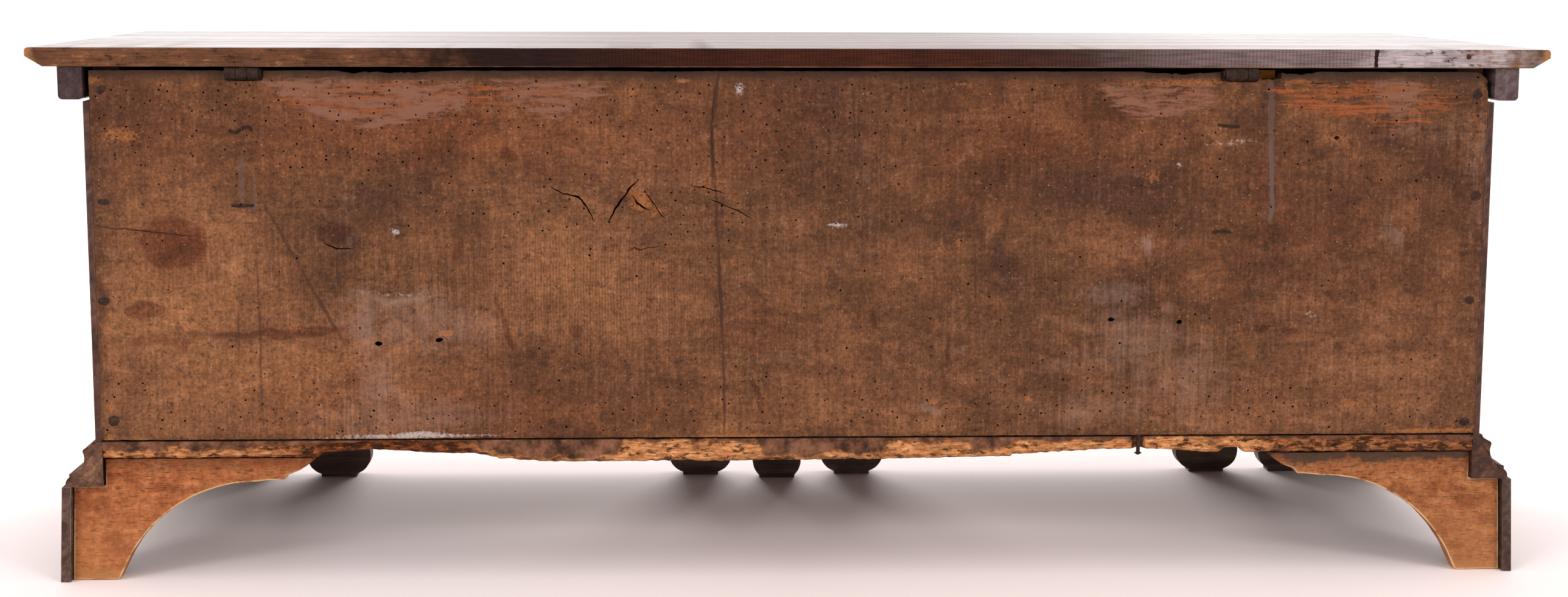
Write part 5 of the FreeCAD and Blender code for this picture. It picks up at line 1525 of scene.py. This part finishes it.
# Dry walnut: dark skin outside, bright crumbly gold where it is eaten, char in places, darker where it lies
# deeper.
gold = add(tree, "Attribute", attribute_name="eaten").node.outputs["Fac"]
deep = add(tree, "Attribute", attribute_name="sunken").node.outputs["Fac"]
along = add(tree, "Mapping", {"Vector": place, "Scale": (0.2, 0.6, 1)})
bands = add(
    tree, "TexNoise", {"Vector": along, "Scale": per_metre(2.8), "Detail": 6.0, "Roughness": 0.75},
)
blots = add(tree, "TexNoise", {"Vector": place, "Scale": per_metre(17), "Detail": 6.0, "Roughness": 0.7})
skin = add(
    tree, "ValToRGB", {"Fac": blots},
    stops=[(0.36, "#3c2417"), (0.5, "#5e3c2a"), (0.62, "#704a35"), (0.74, "#805b43")],
)
crumb = add(
    tree, "ValToRGB", {"Fac": bands},
    stops=[(0.32, "#68381e"), (0.45, "#ab6d41"), (0.58, "#c48b59"), (0.72, "#ceaa80")],
)
# Towards both ends the eaten wood is darker, and the far +X end is drier and paler.
across = add(tree, "SeparateXYZ", {"Vector": place}).node.outputs["X"]
darker_ends = add(tree, "MapRange", {"Value": across, "From Min": 320 * MM, "From Max": 370 * MM})
paler = {"Value": across, "From Min": 520 * MM, "From Max": 590 * MM, "To Min": 1.0, "To Max": 0.2}
paler = add(tree, "MapRange", paler)
darker_ends = add(tree, "Math", {0: darker_ends, 1: paler}, operation="MULTIPLY")
darker_too = add(
    tree, "MapRange", {"Value": across, "From Min": -500 * MM, "From Max": -540 * MM, "To Max": 0.65},
)
darker_ends = add(tree, "Math", {0: darker_ends, 1: darker_too}, operation="MAXIMUM")
crumb = add(
    tree, "Mix", {"Factor": darker_ends, "A": crumb, "B": "#ab8d76"}, data_type="RGBA", blend_type="MULTIPLY",
)
colour = add(tree, "Mix", {"Factor": gold, "A": skin, "B": crumb}, data_type="RGBA")
colour = shaded(tree, colour, blots, 0.3, 0.6, 0.55, 1.1)
# Crumbs have fallen out and left dark pits, about 4 mm wide and twice as long.
chips = add(tree, "Mapping", {"Vector": place, "Scale": (0.45, 1, 1)})
pits = add(tree, "TexNoise", {"Vector": chips, "Scale": per_metre(6), "Detail": 5.0, "Roughness": 0.72})
more = add(tree, "Math", {0: darker_ends, 1: -0.07, 2: pits}, operation="MULTIPLY_ADD")
pits = add(tree, "MapRange", {"Value": more, "From Min": 0.46, "From Max": 0.38, "To Max": 0.9})
worn = add(tree, "MapRange", {"Value": gold, "To Min": 0.05})
pits = add(tree, "Math", {0: pits, 1: worn}, operation="MULTIPLY")
colour = add(tree, "Mix", {"Factor": pits, "A": colour, "B": "#2c1408"}, data_type="RGBA")
# Darker where the edge lies deeper.
colour = coated(tree, colour, "#341809", deep, 0.55, 1.0, 0.75)
# The stretch under the notch is charred.
charred = add(
    tree, "MapRange", {"Value": across, "From Min": -440 * MM, "From Max": -540 * MM, "To Max": 0.13},
)
charred = add(tree, "Math", {0: charred, 1: blots}, operation="ADD")
colour = coated(tree, colour, "#20110a", charred, 0.66, 0.76, 0.85)
relief = add(tree, "Math", {0: bands, 1: pits}, operation="SUBTRACT")
relief = add(tree, "Bump", {"Height": relief, "Strength": 0.8, "Distance": 1.5 * MM})
join(
    tree, shader, {"Base Color": colour, "Roughness": 0.85, "Specular IOR Level": 0.15, "Normal": relief},
)
dress(bottom, bottom_edge, "case", ["rear_bottom_board"])

# %% [markdown]
# A CAD node holds all nails of one kind, so it is first taken apart into its separate solids.
# Each solid then tells where its head is, which way it faces, how wide the head is and how long the nail.
# The numbers could be typed in, but read from the solids they stay right when the CAD model changes.

# %% Solids of the nails
def islands(node):
    """The separate solids of a CAD node, each as a list of places."""
    shape = bmesh.new()
    shape.from_mesh(nodes[node].data)
    bmesh.ops.remove_doubles(shape, verts=shape.verts, dist=MERGE)
    found = []
    seen = set()
    for start in shape.verts:
        if start in seen:
            continue
        seen.add(start)
        open_verts = [start]
        island = []
        while open_verts:
            vert = open_verts.pop()
            island.append(vert.co.copy())
            for edge in vert.link_edges:
                beside = edge.other_vert(vert)
                if beside not in seen:
                    seen.add(beside)
                    open_verts.append(beside)
        found.append(island)
    shape.free()
    return found


def nail_from(island, clenched=False):
    """Reads a nail's head place, direction, head size and shank length from its solid."""
    low = Vector([min(place[way] for place in island) for way in range(3)])
    high = Vector([max(place[way] for place in island) for way in range(3)])
    axis = 1 if clenched else max(range(3), key=lambda way: high[way] - low[way])
    aside = [way for way in range(3) if way != axis]
    run = high[axis] - low[axis]
    ends = []
    for end in (low[axis], high[axis]):
        near = [place for place in island if abs(place[axis] - end) < 0.06 * run]
        ends.append(
            max(max(place[way] for place in near) - min(place[way] for place in near) for way in aside),
        )
    head_high = ends[1] > ends[0] and not clenched
    facing = Vector((0, 0, 0))
    facing[axis] = 1.0 if head_high else -1.0
    near = [place for place in island if abs(place[axis] - (high if head_high else low)[axis]) < 0.06 * run]
    middle = sum(near, Vector()) / len(near)
    middle[axis] = (high if head_high else low)[axis]
    return {"head": middle, "facing": facing, "wide": ends[1] if head_high else ends[0], "run": run}


print("nails in the back board:", len(islands("back_board_nails")))

# %% [markdown]
# The eight heads on the back take the sizes that they show in the photograph; the others follow their
# solids. Where the bottom board is eaten away, its nails have moved up with it, and one sticks out bare.

# %% Places of the nails
# Head sizes on the back, as half width, half height and thickness in millimetres, with the turn in degrees.
BACK_HEADS = {
    (745, 181): (6.4, 6.0, 2.6, 20), (752, 313): (7.2, 4.4, 2.4, 8), (748, 421): (7.6, 3.6, 2.2, -6),
    (747, 542): (6.4, 4.4, 2.6, 30), (-749, 173): (6.4, 4.8, 3.2, 0), (-748, 310): (5.6, 5.4, 2.6, 15),
    (-750, 426): (6.2, 6.0, 2.6, 40), (-748, 537): (6.0, 5.8, 2.6, 10),
}
NAIL_NODES = {
    "case": ["back_board_nails", "case_hinge_nails", "bottom_nails", "lock_nails", "escutcheon_nails"],
    "lid": ["lid_hinge_nails", "cleat_nails", "lock_staple_nails"],
}
nail_lists = {body: [] for body in NAIL_NODES}
for body, names in NAIL_NODES.items():
    for name in names:
        for island in islands(name):
            nail = nail_from(island, name == "case_hinge_nails")
            spot = (nail["head"].x / MM, nail["head"].z / MM)
            nail["size"] = (nail["wide"] / 2, nail["wide"] / 2, 0.26 * nail["wide"])
            nail["turn"] = dice.uniform(0, math.tau)
            if name == "back_board_nails":
                key = min(BACK_HEADS, key=lambda place: math.dist(place, spot))
                wide, tall, proud, turn = BACK_HEADS[key]
                nail["size"] = (1.15 * wide * MM, 1.15 * tall * MM, proud * MM)
                nail["head"].y = REAR + (proud - 0.2) * MM
                nail["turn"] = math.radians(turn)
            if name == "bottom_nails":
                bare = 5.5 if abs(spot[0] - BARE_NAIL) < 20 else -1.0
                lift = max(0, lower_edge(spot[0]) - bare - spot[1]) * MM
                nail["head"].z += lift
                nail["run"] -= lift
            nail_lists[body].append(nail)
# One small nail sits in the lid's rear edge.
nail_lists["lid"].append({
    "head": Vector((-734 * MM, lid_high.y + 0.9 * MM, 578.8 * MM)), "facing": Vector((0, 1, 0)),
    "run": 24 * MM, "size": (3.4 * MM, 3.2 * MM, 1.2 * MM), "turn": 0.4,
})
print({body: len(nails) for body, nails in nail_lists.items()})

# %% [markdown]
# The nails were forged by hand: a square shank and a faceted rose head, no two alike. One mesh for each
# nail would be slow to write. The tree sets a head and a shank on every point instead, turned and sized
# by the point's attributes, and noise pushes the facets about like a hammer.

# %% Tree of the nails
nail_tree, given = new_tree(
    "forged_nails",
    {
        "Facets": "NodeSocketInt", "Shank": "NodeSocketFloat", "Hammering": "NodeSocketFloat",
        "Finish": "NodeSocketMaterial",
    },
)
facing = add(nail_tree, "GeometryNodeInputNamedAttribute", {"Name": "facing"}, data_type="FLOAT_VECTOR")
head_size = add(nail_tree, "GeometryNodeInputNamedAttribute", {"Name": "size"}, data_type="FLOAT_VECTOR")
turn = add(nail_tree, "GeometryNodeInputNamedAttribute", {"Name": "turn"}, data_type="FLOAT")
run = add(nail_tree, "GeometryNodeInputNamedAttribute", {"Name": "run"}, data_type="FLOAT")
aimed = add(nail_tree, "FunctionNodeAlignRotationToVector", {"Vector": facing}, axis="Z")
spun = add(nail_tree, "FunctionNodeAxisAngleToRotation", {"Axis": (0.0, 0.0, 1.0), "Angle": turn})
aimed = add(
    nail_tree, "FunctionNodeRotateRotation", {"Rotation": aimed, "Rotate By": spun},
    rotation_space="LOCAL",
)
head = add(
    nail_tree, "GeometryNodeMeshCone",
    {
        "Vertices": given["Facets"], "Side Segments": 2, "Radius Top": 0.3, "Radius Bottom": 1.0,
        "Depth": 1.0,
    },
)
heads = add(
    nail_tree, "GeometryNodeInstanceOnPoints",
    {"Points": given["Geometry"], "Instance": head, "Rotation": aimed, "Scale": head_size},
)
shank = add(
    nail_tree, "GeometryNodeMeshCone",
    {"Vertices": 4, "Radius Top": 1.0, "Radius Bottom": 0.45, "Depth": 1.0},
)
shank = add(nail_tree, "GeometryNodeTransform", {"Geometry": shank, "Translation": (0.0, 0.0, -0.98)})
shank_size = add(nail_tree, "CombineXYZ", {"X": given["Shank"], "Y": given["Shank"], "Z": run})
shanks = add(
    nail_tree, "GeometryNodeInstanceOnPoints",
    {"Points": given["Geometry"], "Instance": shank, "Rotation": aimed, "Scale": shank_size},
)
both = add(nail_tree, "GeometryNodeJoinGeometry")
nail_tree.links.new(heads, both.node.inputs[0])
nail_tree.links.new(shanks, both.node.inputs[0])
both = add(nail_tree, "GeometryNodeRealizeInstances", {"Geometry": both})
dents = add(nail_tree, "TexNoise", {"Scale": per_metre(5), "Detail": 1.0}).node.outputs["Color"]
dents = add(nail_tree, "VectorMath", {0: dents, 1: (0.5, 0.5, 0.5)}, operation="SUBTRACT")
dents = add(nail_tree, "VectorMath", {0: dents, "Scale": given["Hammering"]}, operation="SCALE")
both = add(nail_tree, "GeometryNodeSetPosition", {"Geometry": both, "Offset": dents})
close_tree(nail_tree, both, given["Finish"])
print("tree of the nails:", len(nail_tree.nodes), "nodes")

# %% [markdown]
# One cloud of points for each body, because the nails of the lid open with it.

# %% Forged nails
def nail_cloud(name, nails):
    """Points for the nail tree, each with its direction, size, turn and length."""
    mesh = bpy.data.meshes.new(name)
    mesh.from_pydata(
        [nail["head"] - nail["facing"] * (nail["size"][2] + 0.3 * MM) for nail in nails], [], [],
    )
    for key in ("facing", "size"):
        layer = mesh.attributes.new(key, "FLOAT_VECTOR", "POINT")
        layer.data.foreach_set("vector", [part for nail in nails for part in nail[key]])
    for key in ("turn", "run"):
        layer = mesh.attributes.new(key, "FLOAT", "POINT")
        layer.data.foreach_set("value", [nail[key] for nail in nails])
    return mesh


for body, nails in nail_lists.items():
    for nail in nails:
        nail["run"] -= nail["size"][2] + 2 * MM
    piece = grow(f"{body}_nails", nail_cloud(f"{body}_nail_points", nails), nail_tree, {
        "Facets": 7, "Shank": 2.2 * MM, "Hammering": 1.4 * MM, "Finish": rusted_iron,
    })
    # The hinge nails are left to their clenched points, which come next.
    dress(
        piece, rusted_iron, body,
        [name for name in NAIL_NODES[body] if name != "case_hinge_nails"],
    )

# %% [markdown]
# The nails of the hinge straps were driven from inside, and their points were bent over on the back and
# hammered flat. Each bent point is a line of places, and a tree turns the lines into rods. Their ends are
# sunk into the wood.

# %% Clenched nail points
CLENCHED = [
    [
        (587.9, 498.0), (590.6, 502.1), (596.5, 501.1), (601.1, 498.2), (604.5, 495.5), (609.6, 496.8),
        (611.5, 498.2),
    ],
    [(587.9, 416.7), (595.0, 416.9), (604.0, 416.3), (611.5, 416.6)],
    [(-484.5, 502.6), (-478.0, 502.2), (-468.0, 503.6), (-460.8, 504.4)],
    [(-478.6, 386.5), (-470.4, 387.8), (-464.0, 387.0), (-459.2, 386.2)],
]
rod_tree, given = new_tree("clenched_points", {
    "Thickness": "NodeSocketFloat", "Sides": "NodeSocketInt", "Finish": "NodeSocketMaterial",
})
path = add(rod_tree, "GeometryNodeMeshToCurve", {"Mesh": given["Geometry"]})
path = add(rod_tree, "GeometryNodeSubdivideCurve", {"Curve": path, "Cuts": 2})
round_rod = add(
    rod_tree, "GeometryNodeCurvePrimitiveCircle",
    {"Resolution": given["Sides"], "Radius": given["Thickness"]},
)
rods = add(
    rod_tree, "GeometryNodeCurveToMesh", {"Curve": path, "Profile Curve": round_rod, "Fill Caps": True},
)
close_tree(rod_tree, rods, given["Finish"])
places = []
links = []
for line in CLENCHED:
    for index, (x, z) in enumerate(line):
        sunk = 1.4 if index in (0, len(line) - 1) else 0.2
        if index:
            links.append((len(places) - 1, len(places)))
        places.append((x * MM, REAR + (0.9 - sunk) * MM, z * MM))
line_mesh = bpy.data.meshes.new("clench_lines")
line_mesh.from_pydata(places, links, [])
piece = grow(
    "clenched_points", line_mesh, rod_tree, {"Thickness": 1.6 * MM, "Sides": 6, "Finish": forged_iron},
)
dress(piece, forged_iron, "case", ["case_hinge_nails"])

# %% [markdown]
# The hinges are forged straps with rolled eyes, and the lock is a plain plate box with its bolt and
# staple. Their shapes are in the solids, so they only need their sharp arrises worn, a little less on the
# small parts.

# %% Hinges, pins and lock plates
for index, (node, body) in enumerate([
    ("left_case_hinge_leaf", "case"), ("right_case_hinge_leaf", "case"), ("left_hinge_pin", "case"),
    ("right_hinge_pin", "case"), ("left_lid_hinge_leaf", "lid"), ("right_lid_hinge_leaf", "lid"),
    ("escutcheon", "case"), ("lock_case", "case"), ("lock_bolt", "bolt"), ("lock_staple", "lid"),
    ("lock_staple_plate", "lid"),
]):
    arris = 0.9 if "leaf" in node else 0.45
    piece = put_object(f"forged_{node}", worn_copy(node, arris, 0.35, 9, 60 + index))
    dress(piece, forged_iron, body, [node])

# %% [markdown]
# Boards inside the chest and under it stay as CAD made them, because nobody handles their arrises.
# They only need a finish in their material slots, picked by name.

# %% Finishes for the remaining nodes
for name, piece in nodes.items():
    if any(word in name for word in ("nail", "hinge_leaf", "pin", "lock_", "escutcheon")):
        finish = forged_iron
    elif name == "hinge_packing":
        finish = packing_fir
    elif "bottom" in name:
        finish = bottom_walnut
    else:
        finish = bare_walnut
    for slot in piece.material_slots:
        slot.material = finish
print("finishes on", len(nodes), "nodes")
